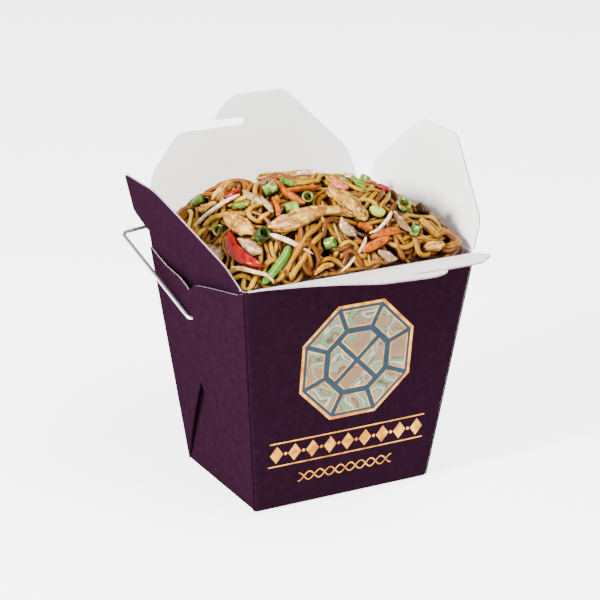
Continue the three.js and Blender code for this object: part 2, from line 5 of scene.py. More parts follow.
import bpy
import numpy as np
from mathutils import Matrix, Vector


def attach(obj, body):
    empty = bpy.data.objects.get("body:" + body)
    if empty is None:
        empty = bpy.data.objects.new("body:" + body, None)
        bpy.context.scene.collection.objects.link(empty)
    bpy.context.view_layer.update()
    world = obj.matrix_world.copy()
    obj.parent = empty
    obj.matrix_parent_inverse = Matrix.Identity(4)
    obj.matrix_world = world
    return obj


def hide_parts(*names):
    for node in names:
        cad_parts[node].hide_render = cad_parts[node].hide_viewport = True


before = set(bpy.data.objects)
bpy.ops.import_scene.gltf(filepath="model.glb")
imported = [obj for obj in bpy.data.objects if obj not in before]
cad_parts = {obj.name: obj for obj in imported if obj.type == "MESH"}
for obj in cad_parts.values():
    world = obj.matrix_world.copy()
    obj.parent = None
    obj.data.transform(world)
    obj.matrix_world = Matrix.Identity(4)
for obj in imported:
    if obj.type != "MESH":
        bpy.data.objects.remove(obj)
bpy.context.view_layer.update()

MM = 0.001
rng = np.random.default_rng(11)

# ------------------------------------------------------------------ sizes, in millimetres

TOP = (110.0, 94.0)
BASE = (85.0, 65.0)
HEIGHT = 107.0
RIM = HEIGHT - 0.3
BOARD = 0.6
FOLD_RADIUS = 1.2
BOARD_CELL = 5.0
PANEL_BULGE = 0.5

# The play that is left between parts.
PLAY = 0.35

WEB_BOW = 3.0
WEB_APEX = 52.0

CREASE_OUT = 0.35
CREASE_RADIUS = 0.42
FLAP_FOOT = 0.45

WIRE = 0.9
BAIL_PIVOT = 81.0
BAIL_ARM = 65.0
BAIL_ANGLE = math.radians(18.5)
BAIL_HALF = 61.0
BAIL_ARCH = 5.0
BAIL_HOOK = 3.0


def half_width(z):
    return (BASE[0] + (TOP[0] - BASE[0]) * z / HEIGHT) / 2


def half_depth(z):
    return (BASE[1] + (TOP[1] - BASE[1]) * z / HEIGHT) / 2


def smooth_step(value, low, high):
    share = np.clip((value - low) / (high - low), 0, 1)
    return share * share * (3 - 2 * share)


def unit(rows):
    """Directions scaled to length one."""
    return rows / np.linalg.norm(rows, axis=-1, keepdims=True)


def headings(line):
    """The direction of a line at each of its points."""
    return unit(np.gradient(line, axis=0))


# ------------------------------------------------------------------ camera

# Its place, its turns, its lens over its sensor, and the frame's side in pixels.
CAMERA_AT = (-444.5008, -821.2242, 415.537)
CAMERA_AZIMUTH = math.radians(-28.204)
CAMERA_ELEVATION = math.radians(19.784)
CAMERA_ROLL = math.radians(0.3337)
CAMERA_LENS = 136.2851
SENSOR = 36.0
FRAME_SIDE = 600


def camera_axes():
    """The camera's right, up and backward directions."""
    backward = np.array([
        math.sin(CAMERA_AZIMUTH) * math.cos(CAMERA_ELEVATION),
        -math.cos(CAMERA_AZIMUTH) * math.cos(CAMERA_ELEVATION),
        math.sin(CAMERA_ELEVATION),
    ])
    level = np.array([math.cos(CAMERA_AZIMUTH), math.sin(CAMERA_AZIMUTH), 0])
    right = level * math.cos(CAMERA_ROLL) + np.cross(backward, level) * math.sin(CAMERA_ROLL)
    return right, np.cross(backward, right), backward


def add_camera():
    bpy.ops.object.camera_add()
    camera = bpy.context.object
    matrix = camera.matrix_world.copy()
    for column, values in enumerate((*camera_axes(), np.array(CAMERA_AT) * MM)):
        for row in range(3):
            matrix[row][column] = values[row]
    camera.matrix_world = matrix
    camera.data.lens = CAMERA_LENS
    camera.data.sensor_width = SENSOR
    camera.data.clip_start = 0.05
    camera.data.clip_end = 20.0
    bpy.context.scene.camera = camera


add_camera()

# ------------------------------------------------------------------ materials


def srgb(code):
    """An sRGB hex code as a linear colour."""
    levels = [int(code[i:i + 2], 16) / 255 for i in (1, 3, 5)]
    return [v / 12.92 if v <= 0.04045 else ((v + 0.055) / 1.055) ** 2.4 for v in levels] + [1.0]


def add(tree, kind, sockets=None, stops=(), **settings):
    """A new node with its settings, its socket values, a link wherever a socket is given, and
    its colour stops.
    """
    made = tree.nodes.new("ShaderNode" + kind)
    for key, value in settings.items():
        setattr(made, key, value)
    for key, value in (sockets or {}).items():
        if isinstance(value, bpy.types.NodeSocket):
            tree.links.new(value, made.inputs[key])
        else:
            made.inputs[key].default_value = value
    if stops:
        elements = made.color_ramp.elements
        while len(elements) < len(stops):
            elements.new(0.5)
        for element, (share, colour) in zip(elements, stops):
            element.position = share
            element.color = srgb(colour)
    return made


def new_material(name, **shader):
    """A material with its shader set up; the values are the shader's own sockets."""
    material = bpy.data.materials.new(name)
    material.use_nodes = True
    tree = material.node_tree
    surface = tree.nodes["Principled BSDF"]
    for key, value in shader.items():
        surface.inputs[key.replace("_", " ")].default_value = value
    return material, tree, surface


def plug(tree, surface, **sources):
    """Links sockets to the shader's own sockets of those names."""
    for key, value in sources.items():
        tree.links.new(value, surface.inputs[key.replace("_", " ")])


def between(tree, pattern, low, high, first, second, most=1.0):
    """One colour up to a pattern's low level, and a second one, or most of it, from its high."""
    share = add(tree, "MapRange", {
        "Value": pattern, "From Min": low, "From Max": high, "To Max": most}).outputs["Result"]
    return add(tree, "Mix", {0: share, 6: first, 7: second}, data_type="RGBA").outputs[2]


def board_material(name, colour, clouds, roughness, specular):
    """Coated board: an even colour with faint fibre clouds, and a skin that follows the fibres."""
    material, tree, surface = new_material(
        name, Roughness=roughness, Specular_IOR_Level=specular)
    place = add(tree, "TexCoord").outputs["Object"]
    cloud = add(tree, "TexNoise", {
        "Vector": place, "Scale": 1 / (3 * MM), "Detail": 4.0, "Roughness": 0.7}).outputs["Fac"]
    shade = between(tree, cloud, 0.3, 0.7, srgb(colour), srgb(clouds))
    wave = add(tree, "TexNoise", {
        "Vector": place, "Scale": 1 / (16 * MM), "Detail": 1.0}).outputs["Fac"]
    waved = add(tree, "Bump", {"Height": wave, "Distance": 0.25 * MM}).outputs["Normal"]
    grain = add(tree, "TexNoise", {
        "Vector": place, "Scale": 1 / (0.55 * MM), "Detail": 2.0}).outputs["Fac"]
    skin = add(tree, "Bump", {"Height": grain, "Distance": 0.012 * MM, "Normal": waved})
    plug(tree, surface, Base_Color=shade, Normal=skin.outputs["Normal"])
    return material


# Folding boxboard with an aubergine print under a matt varnish: deep, dull, finely mottled.
PRINTED = board_material("printed_boxboard_aubergine", "#1F0C19", "#160812", 0.8, 0.0)
# The clay-coated inner side of the same board: clean white, silky.
COATED = board_material("clay_coated_boxboard_white", "#F1F0EE", "#E9E8E6", 0.5, 0.4)
# Its die-cut edge, where the pulp shows: off-white and dull.
CUT_EDGE = board_material("die_cut_boxboard_edge", "#9C888C", "#86747A", 0.8, 0.1)


def wire_material():
    # Drawn, galvanised steel wire: bright, with fine die marks that soften its reflections.
    material, tree, surface = new_material(
        "drawn_galvanised_steel_wire", Base_Color=srgb("#E4E4E6"), Metallic=1.0)
    place = add(tree, "TexCoord").outputs["Object"]
    marks = add(tree, "TexNoise", {
        "Vector": place, "Scale": 1 / (1.2 * MM), "Detail": 3.0}).outputs["Fac"]
    dull = add(tree, "MapRange", {
        "Value": marks, "To Min": 0.24, "To Max": 0.46}).outputs["Result"]
    drawn = add(tree, "Bump", {"Height": marks, "Distance": 0.01 * MM}).outputs["Normal"]
    plug(tree, surface, Roughness=dull, Normal=drawn)
    return material


STEEL = wire_material()

# ------------------------------------------------------------------ modelling helpers


def deselect():
    bpy.ops.object.select_all(action="DESELECT")


def points_of(piece):
    flat = np.empty(len(piece.data.vertices) * 3)
    piece.data.vertices.foreach_get("co", flat)
    return flat.reshape(-1, 3)


def move_points(piece, points):
    piece.data.vertices.foreach_set("co", np.asarray(points, float).ravel())
    piece.data.update()


def pick(piece):
    """Makes a piece the active one, and the only one selected."""
    deselect()
    piece.select_set(True)
    bpy.context.view_layer.objects.active = piece


def edit(piece):
    pick(piece)
    bpy.ops.object.mode_set(mode="EDIT")
    bpy.ops.mesh.select_mode(type="VERT")


def leave():
    bpy.ops.object.mode_set(mode="OBJECT")


def face_outwards(piece):
    edit(piece)
    bpy.ops.mesh.select_all(action="SELECT")
    bpy.ops.mesh.normals_make_consistent(inside=False)
    leave()


def thicken(piece, thickness, inner=0, rim=0):
    """Gives a sheet its wall, in millimetres inwards; its inner side and its rim take the
    materials that many places on.
    """
    wall = piece.modifiers.new("wall", "SOLIDIFY")
    wall.thickness = thickness * MM
    wall.offset = -1.0
    wall.material_offset = inner
    wall.material_offset_rim = rim
    pick(piece)
    bpy.ops.object.modifier_apply(modifier=wall.name)


def refine(piece):
    """Rounds a piece off by one level of subdivision."""
    finer = piece.modifiers.new("finer", "SUBSURF")
    finer.levels = 1
    finer.render_levels = 1
    pick(piece)
    bpy.ops.object.modifier_apply(modifier=finer.name)


def cut_grid(piece, cell, axes=(0, 1)):
    """Cuts the whole mesh by evenly spaced planes across the given axes."""
    low = points_of(piece).min(axis=0)
    high = points_of(piece).max(axis=0)
    edit(piece)
    for axis in axes:
        count = max(1, round((high[axis] - low[axis]) / cell))
        for i in range(1, count):
            at = [0.0, 0.0, 0.0]
            normal = [0.0, 0.0, 0.0]
            at[axis] = low[axis] + (high[axis] - low[axis]) * i / count
            normal[axis] = 1.0
            bpy.ops.mesh.select_all(action="SELECT")
            bpy.ops.mesh.bisect(plane_co=at, plane_no=normal)
    leave()


def smooth(piece, angle=35):
    pick(piece)
    bpy.ops.object.shade_smooth_by_angle(angle=math.radians(angle))


def coat(piece, *materials):
    for material in materials:
        piece.data.materials.append(material)


def dress(piece, body="box", replaces=()):
    """Gives a piece its body and hides the nodes that it stands for."""
    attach(piece, body)
    if replaces:
        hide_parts(*replaces)


# ------------------------------------------------------------------ board


FOLD_NEAR = 0.4
UV_SPAN = 100


def near_fold(point, folds):
    """Whether a point of the flat blank lies on one of its folded edges."""
    for start, end in folds:
        start = np.array(start, float)
        run = np.array(end, float) - start
        share = np.clip(np.dot(point - start, run) / np.dot(run, run), 0, 1)
        if np.linalg.norm(point - start - run * share) < FOLD_NEAR:
            return True
    return False


def board_sheet(name, outline, rounds, place, outward, folds):
    """A die-cut sheet: its flat outline, corners rounded, laid in place, then given its thickness.

    The printed side is the outer one, and a folded edge shows print where a cut one shows pulp.
    """
    deselect()
    bpy.ops.mesh.primitive_circle_add(vertices=len(outline), radius=1.0, fill_type="NGON")
    sheet = bpy.context.object
    sheet.name = name
    move_points(sheet, [(u, v, 0.0) for u, v in outline])
    for radius, corners in rounds.items():
        marks = [outline[i] for i in corners]
        edit(sheet)
        bpy.ops.mesh.select_all(action="DESELECT")
        leave()
        for vertex in sheet.data.vertices:
            vertex.select = any(math.dist(vertex.co[:2], mark) < 1e-3 for mark in marks)
        edit(sheet)
        bpy.ops.mesh.bevel(offset=radius, segments=5, affect="VERTICES")
        leave()
    cut_grid(sheet, BOARD_CELL)
    flat = points_of(sheet)[:, :2]
    layer = sheet.data.uv_layers.new(name="blank")
    for loop in sheet.data.loops:
        layer.data[loop.index].uv = flat[loop.vertex_index] / UV_SPAN
    move_points(sheet, np.array([place(u, v) for u, v in flat]) * MM)
    lean = sum((polygon.normal * polygon.area for polygon in sheet.data.polygons), Vector())
    if lean.dot(Vector(outward)) < 0:
        edit(sheet)
        bpy.ops.mesh.select_all(action="SELECT")
        bpy.ops.mesh.flip_normals()
        leave()
    coat(sheet, PRINTED, COATED, CUT_EDGE)
    thicken(sheet, BOARD, inner=1, rim=2)
    layer = sheet.data.uv_layers["blank"]
    for polygon in sheet.data.polygons:
        if polygon.material_index == 2:
            middle = np.mean([layer.data[i].uv[:] for i in polygon.loop_indices], axis=0)
            if near_fold(middle * UV_SPAN, folds):
                polygon.material_index = 0
    smooth(sheet)
    return sheet


def panel_bulge(along, z, half):
    """How far a filled panel swells: most at its middle, nothing at its folds."""
    across = np.clip(along / half, -1, 1)
    height = np.clip(z / HEIGHT, 0, 1)
    return PANEL_BULGE * (1 - across ** 2) * np.sin(np.pi * height ** 0.8)


# A point this near to the outside belongs to a panel.
PANEL_DEPTH = 0.9


def swell(points):
    """Moves the carton's panels out by their bulge, in millimetres."""
    x, y, z = points.T
    side = np.abs(x) > half_width(z) - PANEL_DEPTH
    face = (np.abs(y) > half_depth(z) - PANEL_DEPTH) & ~side
    x = x + np.where(side, np.sign(x) * panel_bulge(y, z, half_depth(z) - 1), 0)
    y = y + np.where(face, np.sign(y) * panel_bulge(x, z, half_width(z) - 1), 0)
    return np.stack([x, y, z], axis=1)


def carton_shell():
    """Bottom and four panels: a block tapered, opened, its folds rounded and its wall made."""
    deselect()
    bpy.ops.mesh.primitive_cube_add(size=2.0)
    shell = bpy.context.object
    shell.name = "carton_shell"
    corners = points_of(shell)
    z = np.where(corners[:, 2] > 0, RIM, 0.0)
    move_points(shell, np.stack([
        np.sign(corners[:, 0]) * half_width(z), np.sign(corners[:, 1]) * half_depth(z), z], axis=1))
    edit(shell)
    bpy.ops.mesh.select_mode(type="FACE")
    bpy.ops.mesh.select_all(action="DESELECT")
    leave()
    for polygon in shell.data.polygons:
        polygon.select = polygon.normal.z > 0.9
    edit(shell)
    bpy.ops.mesh.select_mode(type="FACE")
    bpy.ops.mesh.delete(type="ONLY_FACE")
    bpy.ops.mesh.select_mode(type="EDGE")
    bpy.ops.mesh.select_all(action="DESELECT")
    leave()
    for edge in shell.data.edges:
        ends = [shell.data.vertices[i].co for i in edge.vertices]
        edge.select = abs(ends[0].z - ends[1].z) > 1 or max(ends[0].z, ends[1].z) < 1
    edit(shell)
    bpy.ops.mesh.select_mode(type="EDGE")
    bpy.ops.mesh.bevel(offset=FOLD_RADIUS, segments=4)
    leave()
    cut_grid(shell, BOARD_CELL, (0, 1, 2))
    move_points(shell, swell(points_of(shell)) * MM)
    coat(shell, PRINTED, COATED, CUT_EDGE)
    face_outwards(shell)
    thicken(shell, BOARD, inner=1, rim=2)
    smooth(shell)
    return shell


WEB_MARGIN = 1.5
LAP_FROM = -20


def web_place(side, lap):
    """Where a point of a side web lies: bowed off the side panel, and over the other web."""
    def place(y, z):
        across = y / (half_depth(z) - WEB_MARGIN)
        stand = max(0.0, WEB_BOW * (1 - across * across))
        layers = 1 + lap * float(smooth_step(y, LAP_FROM, 0))
        return (side * (half_width(z) + stand + BOARD * layers), y, z)
    return place


def curve_points(start, bend, end, count):
    """Points along a quadratic curve, without its start."""
    shares = [i / count for i in range(1, count + 1)]
    return [tuple(
        (1 - t) ** 2 * start[k] + 2 * t * (1 - t) * bend[k] + t * t * end[k] for k in (0, 1))
        for t in shares]


def arc_points(centre, radius, start, end, count):
    return [(
        centre[0] + radius * math.cos(start + (end - start) * i / count),
        centre[1] + radius * math.sin(start + (end - start) * i / count),
    ) for i in range(count + 1)]


def side_webs(side):
    """The two gussets folded flat against a side panel, the front one over the back one."""
    corner_low = half_depth(0) - 0.5
    corner_high = half_depth(HEIGHT) - 0.5
    name = "left" if side < 0 else "right"
    back = [
        (corner_low, 0.4), (half_depth(99) - 0.5, 99), (25, 96.6), (10, 96.2), (1, 93),
        (-6, 84), (-6, 62), (0, WEB_APEX),
    ]
    back_sheet = board_sheet(
        "web_back_" + name, back, {1.5: [3], 2.5: [4]}, web_place(side, 0), (side, 0, 0),
        folds=[(back[0], back[1]), (back[7], back[0])])
    front = [
        (-corner_low, 0.4), (-26.5, 8), (-19, 22.5), (-11, 36), (0, WEB_APEX), (14, 66),
        (14, 85.8), (-7, 98), (-25, 101.5), (-42, 104.3), (-corner_high, 106.2),
    ]
    front_sheet = board_sheet(
        "web_front_" + name, front, {1.5: [4, 5], 2.2: [6], 4: [7]}, web_place(side, 1),
        (side, 0, 0), folds=[(front[i], front[i + 1]) for i in range(5)] + [(front[10], front[0])])
    return [back_sheet, front_sheet]


# A front or back flap, along its crease and up from it: its shoulders, its free edge, the curve
# of its hook, and the slot under the hook with the slot's round end.
SHOULDER = (49.3, 23)
FREE_EDGE = (21.2, 53.3)
HOOK_CURVE = ((-3, 53.3), (-10.5, 51), (-15.6, 43))
SLOT_END = (-2.6, 41.35)
SLOT_HALF = 1.65
SLOT_MOUTH = (-33.8, 39.7)


def major_outline():
    """A front or back flap: hooked tab and slot, both edges sloping in from the shoulders."""
    foot = TOP[0] / 2 - 0.7
    outline = [(-foot, FLAP_FOOT), (foot, FLAP_FOOT), SHOULDER, FREE_EDGE, HOOK_CURVE[0]]
    outline += curve_points(*HOOK_CURVE, 8)
    outline += arc_points(SLOT_END, SLOT_HALF, math.pi / 2, -math.pi / 2, 8)
    outline += [SLOT_MOUTH, (-SHOULDER[0], SHOULDER[1])]
    return outline


MAJOR_ROUNDS = {1.2: [12], 1.5: [0, 1], 2.0: [4], 3.0: [3, 22], 4.0: [2, 23]}


MINOR_FOOT = 45.6
MINOR_EDGE = (14.6, 44.5)


def minor_outline(low, high):
    """A left or right flap with its two shoulders, the second one at its far end."""
    half, reach = MINOR_EDGE
    return [
        (-MINOR_FOOT, FLAP_FOOT), (MINOR_FOOT, FLAP_FOOT), (MINOR_FOOT, high), (half, reach),
        (-half, reach), (-MINOR_FOOT, low),
    ]


MINOR_ROUNDS = {1.5: [0, 1], 3.0: [2, 5], 4.0: [3, 4]}


def flap_place(out, lean, half, curl):
    """Where a point of a flap lies: u runs along its crease, v up from it, and it curls a little."""
    out = Vector(out)
    up = Vector((0, 0, 1))
    along = up.cross(out)
    angle = math.radians(lean)
    rise = up * math.cos(angle) + out * math.sin(angle)
    face = out * math.cos(angle) - up * math.sin(angle)
    crease = out * (half + CREASE_OUT) + up * HEIGHT

    def place(u, v):
        return crease + along * -u + rise * v + face * (BOARD / 2 + curl(u, v))
    return place


CURL_START = 4
CURL_RUN = 49
CURL_HALF = 50


def curled(tip, side, roll):
    """A curl that starts past the crease: to the tip, to one side, and across the middle."""
    def curl(u, v):
        share = max(0.0, v - CURL_START) / CURL_RUN
        middle = 1 - (u / CURL_HALF) ** 2
        return tip * share ** 2 + side * share * u / CURL_HALF + roll * share * middle
    return curl


FLAPS = {
    "flap_front": ((0, -1, 0), 70.8, TOP[1] / 2, major_outline(), MAJOR_ROUNDS, (2.6, -1.4, 1.5)),
    "flap_back": ((0, 1, 0), 18.6, TOP[1] / 2, major_outline(), MAJOR_ROUNDS, (-0.9, 0.6, -0.6)),
    "flap_left": (
        (-1, 0, 0), 32.5, TOP[0] / 2, minor_outline(14.5, 12), MINOR_ROUNDS, (0.7, 0.4, -0.3)),
    "flap_right": (
        (1, 0, 0), 12.5, TOP[0] / 2, minor_outline(18, 14.5), MINOR_ROUNDS, (0.7, -0.5, -0.5)),
}


CREASE_IN = 0.1
CREASE_END = 1.5


def crease_bead(name, out, half, length):
    """The rounded fold between a panel and its flap: print outside, white inside."""
    deselect()
    bpy.ops.mesh.primitive_cylinder_add(vertices=12, radius=CREASE_RADIUS, depth=length)
    bead = bpy.context.object
    bead.name = name
    out = Vector(out)
    along = Vector((0, 0, 1)).cross(out)
    points = [
        along * z + out * (x + half + CREASE_OUT - CREASE_IN) + Vector((0, 0, y + HEIGHT))
        for x, y, z in points_of(bead)]
    move_points(bead, np.array(points) * MM)
    face_outwards(bead)
    coat(bead, PRINTED, COATED)
    for polygon in bead.data.polygons:
        polygon.material_index = 0 if polygon.normal.dot(out) > 0.25 else 1
    smooth(bead)
    return bead


def build_carton():
    dress(carton_shell(), replaces=("carton",))
    pieces = side_webs(-1) + side_webs(1)
    for name, (out, lean, half, outline, rounds, curl) in FLAPS.items():
        face = (out[0], out[1], -0.3)
        flap = board_sheet(
            name + "_sheet", outline, rounds, flap_place(out, lean, half, curled(*curl)), face,
            folds=[(outline[0], outline[1])])
        dress(flap, body=name, replaces=(name,))
        length = 2 * (abs(outline[1][0]) - CREASE_END)
        pieces.append(crease_bead(name.replace("flap", "crease"), out, half, length))
    for piece in pieces:
        dress(piece)


build_carton()

# ------------------------------------------------------------------ print on the front panel

MEDAL_AT = (1.0, 66.0)
MEDAL_RADIUS = 29.0
MEDAL_RIM = 1.6
# Where the outer panes end and the inner ones start, and how far each ink stops inside its edge.
PANE_REACH = (16.0, 15.4)
PLATE_BAR = 1.3
PANE_BAR = 1.1
PANE_GAP = 1.55
# Half of an octagon's turn, and its side's distance as a share of its corner's.
EIGHTH = 22.5
FLAT_SHARE = 0.924

BAND_HEIGHT = 26.8
BAND_HALF = 38.0
RULE_RISE = 5.6
RULE_WIDTH = 0.6
LOZENGE = (3.1, 4.1)
LOZENGE_STEP = 8.6
DOT_RADIUS = 0.8
WAVE_HEIGHT = 13.6
WAVE_HALF = 23.0
WAVE_RISE = 2.0
WAVE_TURN = 0.62
WAVE_WIDTH = 0.55
INK = 0.05


def foil_material():
    # Hot-stamped gold foil: satin metal, rubbed a little uneven.
    material, tree, surface = new_material(
        "hot_stamped_gold_foil", Metallic=1.0, Roughness=0.42)
    place = add(tree, "TexCoord").outputs["Object"]
    rubs = add(tree, "TexNoise", {
        "Vector": place, "Scale": 1 / (5 * MM), "Detail": 3.0}).outputs["Fac"]
    shade = between(tree, rubs, 0.35, 0.65, srgb("#8A5416"), srgb("#C89038"))
    plug(tree, surface, Base_Color=shade)
    return material


def teal_ink_material():
    # Deep teal ink, matt, with a faint cloud in its tone.
    material, tree, surface = new_material(
        "matt_teal_ink", Roughness=0.6, Specular_IOR_Level=0.1)
    place = add(tree, "TexCoord").outputs["Object"]
    cloud = add(tree, "TexNoise", {"Vector": place, "Scale": 1 / (4 * MM)}).outputs["Fac"]
    shade = between(tree, cloud, 0.0, 1.0, srgb("#102430"), srgb("#203A4A"))
    plug(tree, surface, Base_Color=shade)
    return material


def agate_ink_material():
    # Printed agate: sand, sage and blush layers parted by fine brown lines, under a silk varnish.
    material, tree, surface = new_material(
        "agate_pattern_ink", Roughness=0.5, Specular_IOR_Level=0.2)
    place = add(tree, "TexCoord").outputs["Object"]
    layers = add(tree, "TexNoise", {
        "Vector": place, "Scale": 1 / (15 * MM), "Detail": 1.5, "Distortion": 0.9}).outputs["Fac"]
    shades = add(tree, "ValToRGB", {"Fac": layers}, stops=(
        (0.30, "#6E543C"), (0.42, "#7A6246"), (0.43, "#3A2A1C"), (0.445, "#5E6C50"),
        (0.49, "#527458"), (0.50, "#A09684"), (0.53, "#94806C"), (0.54, "#40301F"),
        (0.555, "#5F7A62"), (0.60, "#80684A"), (0.605, "#463222"), (0.62, "#70583E")))
    plug(tree, surface, Base_Color=shades.outputs["Color"])
    return material


GOLD_FOIL = foil_material()
TEAL_INK = teal_ink_material()
AGATE_INK = agate_ink_material()


def on_panel(x, z, proud):
    bulge = panel_bulge(x, z, half_width(z) - 1)
    return np.stack([x, -(half_depth(z) + bulge + proud), z], axis=-1) * MM


def ink_shape(outline, layer):
    """A printed field: an outline in x and z, laid on the front panel."""
    deselect()
    bpy.ops.mesh.primitive_circle_add(vertices=len(outline), fill_type="NGON")
    shape = bpy.context.object
    move_points(shape, [(x, z, 0) for x, z in outline])
    cut_grid(shape, BOARD_CELL)
    x, z, _ = points_of(shape).T
    move_points(shape, on_panel(x, z, layer * INK))
    return shape


def ink_line(route, width, layer):
    """A printed line of even width along a route in x and z."""
    deselect()
    bpy.ops.mesh.primitive_grid_add(x_subdivisions=len(route) - 1, y_subdivisions=1, size=2)
    line = bpy.context.object
    along, across, _ = points_of(line).T
    route = np.array(route, float)
    heading = headings(route)
    index = np.round((along + 1) / 2 * (len(route) - 1)).astype(int)
    x, z = (route[index] + np.stack([-heading[index, 1], heading[index, 0]], axis=1)
            * (across * width / 2)[:, None]).T
    move_points(line, on_panel(x, z, layer * INK))
    return line


def print_piece(name, shapes, material):
    """Joins printed shapes of one ink and turns their faces outwards."""
    deselect()
    for shape in shapes:
        shape.select_set(True)
    bpy.context.view_layer.objects.active = shapes[0]
    bpy.ops.object.join()
    piece = bpy.context.object
    piece.name = name
    for polygon in piece.data.polygons:
        polygon.select = polygon.normal.y > 0
    if any(polygon.select for polygon in piece.data.polygons):
        pick(piece)
        bpy.ops.object.mode_set(mode="EDIT")
        bpy.ops.mesh.select_mode(type="FACE")
        bpy.ops.mesh.flip_normals()
        leave()
    coat(piece, material)
    dress(piece)


def polar(radius, angle):
    turn = math.radians(angle)
    return MEDAL_AT[0] + radius * math.cos(turn), MEDAL_AT[1] + radius * math.sin(turn)


def drawn_in(outline, margin):
    """An outline with each side moved inwards by a margin."""
    corners = np.array(outline, float)
    middle = corners.mean(axis=0)
    count = len(corners)
    result = []
    for i in range(count):
        lines = []
        for a, b in ((corners[i - 1], corners[i]), (corners[i], corners[(i + 1) % count])):
            normal = np.array([a[1] - b[1], b[0] - a[0]])
            normal /= np.linalg.norm(normal)
            if normal @ (middle - a) < 0:
                normal = -normal
            lines.append((normal, normal @ a + margin))
        result.append(tuple(np.linalg.solve(
            np.array([lines[0][0], lines[1][0]]), np.array([lines[0][1], lines[1][1]]))))
    return result


def lattice_fields():
    """The panes of an octagonal lattice window: eight outer ones, four inner ones."""
    panes = []
    outer, inner = PANE_REACH
    for k in range(8):
        low, high = (2 * k - 1) * EIGHTH, (2 * k + 1) * EIGHTH
        rim = MEDAL_RADIUS - MEDAL_RIM
        panes.append([polar(rim, low), polar(rim, high), polar(outer, high), polar(outer, low)])
    for k in range(4):
        panes.append([polar(0, 0)] + [
            polar(inner * reach, 4 * k * EIGHTH + turn) for reach, turn in (
                (FLAT_SHARE, -45), (1, -EIGHTH), (1, EIGHTH), (FLAT_SHARE, 45))])
    return panes


def build_print():
    plate = [polar(MEDAL_RADIUS, (2 * k + 1) * EIGHTH) for k in range(8)]
    panes = lattice_fields()
    gold = [ink_shape(plate, 1)] + [ink_shape(drawn_in(pane, PANE_BAR), 3) for pane in panes]
    print_piece("medallion_gold", gold, GOLD_FOIL)
    print_piece("medallion_bars", [ink_shape(drawn_in(plate, PLATE_BAR), 2)], TEAL_INK)
    print_piece(
        "medallion_panes", [ink_shape(drawn_in(pane, PANE_GAP), 4) for pane in panes], AGATE_INK)
    band = []
    for rise in (-RULE_RISE, RULE_RISE):
        route = [(x, BAND_HEIGHT + rise) for x in np.linspace(-BAND_HALF, BAND_HALF, 17)]
        band.append(ink_line(route, RULE_WIDTH, 1))
    wide, tall = LOZENGE
    for k in range(-4, 5):
        x = k * LOZENGE_STEP
        band.append(ink_shape(
            [(x - wide, BAND_HEIGHT), (x, BAND_HEIGHT - tall), (x + wide, BAND_HEIGHT),
             (x, BAND_HEIGHT + tall)], 1))
        if k < 4:
            dot = x + LOZENGE_STEP / 2
            band.append(ink_shape(arc_points(
                (dot, BAND_HEIGHT), DOT_RADIUS, 0, 2 * math.pi, 8)[:-1], 1))
    for shift in (0.0, math.pi):
        band.append(ink_line(
            [(x, WAVE_HEIGHT + WAVE_RISE * math.sin(x * WAVE_TURN + shift))
             for x in np.linspace(-WAVE_HALF, WAVE_HALF, 97)], WAVE_WIDTH, 1))
    print_piece("band_gold", band, GOLD_FOIL)


build_print()

# ------------------------------------------------------------------ wire bail


def bent(corners, steps):
    """A wire's route: each inner corner becomes a curve of its own radius."""
    route = [corners[0][0]]
    for i in range(1, len(corners) - 1):
        at, radius = corners[i]
        back = (corners[i - 1][0] - at).normalized()
        onward = (corners[i + 1][0] - at).normalized()
        reach = radius / math.tan(back.angle(onward) / 2)
        start = at + back * reach
        end = at + onward * reach
        for k in range(steps + 1):
            t = k / steps
            route.append(start * (1 - t) ** 2 + at * (2 * t * (1 - t)) + end * t * t)
    route.append(corners[-1][0])
    return route


def build_bail():
    def in_plane(x, along):
        return Vector((
            x, along * math.cos(BAIL_ANGLE), BAIL_PIVOT + along * math.sin(BAIL_ANGLE)))
    panel = half_width(BAIL_PIVOT)
    inside = panel - BOARD - PLAY - WIRE
    outside = panel + WEB_BOW + 2 * BOARD + PLAY + WIRE
    half = [
        (in_plane(-inside, -BAIL_HOOK), 0), (in_plane(-inside, 0), 1.2),
        (in_plane(-outside, 0), 1.6), (in_plane(-BAIL_HALF, BAIL_ARM), 4),
        (in_plane(-BAIL_HALF * 0.55, BAIL_ARM + BAIL_ARCH * 0.8), 40),
    ]
    mirrored = [(Vector((-at.x, at.y, at.z)), radius) for at, radius in reversed(half)]
    route = bent(half + [(in_plane(0, BAIL_ARM + BAIL_ARCH), 60)] + mirrored, 8)
    deselect()
    bpy.ops.curve.primitive_bezier_curve_add()
    wire = bpy.context.object
    wire.name = "bail_wire"
    wire.data.splines.clear()
    spline = wire.data.splines.new("POLY")
    spline.points.add(len(route) - 1)
    for point, at in zip(spline.points, route):
        point.co = (*(at * MM), 1.0)
    wire.data.bevel_depth = WIRE * MM
    wire.data.bevel_resolution = 4
    wire.data.use_fill_caps = True
    bpy.ops.object.convert(target="MESH")
    wire = bpy.context.object
    edit(wire)
    bpy.ops.mesh.select_all(action="SELECT")
    bpy.ops.mesh.remove_doubles(threshold=1e-6)
    bpy.ops.mesh.normals_make_consistent(inside=False)
    leave()
    smooth(wire, 50)
    coat(wire, STEEL)
    dress(wire, body="bail", replaces=("bail",))


build_bail()

# ------------------------------------------------------------------ the heap

INNER = (TOP[0] / 2 - BOARD - PLAY, TOP[1] / 2 - BOARD - PLAY)
CROWN = (TOP[0] / 2 - 0.8, TOP[1] / 2 - 0.8)
HEAP_RISE = 29.5
HEAP_TILT = -0.15
HEAP_SHIFT = -5.0
HEAP_FOOT = 0.5
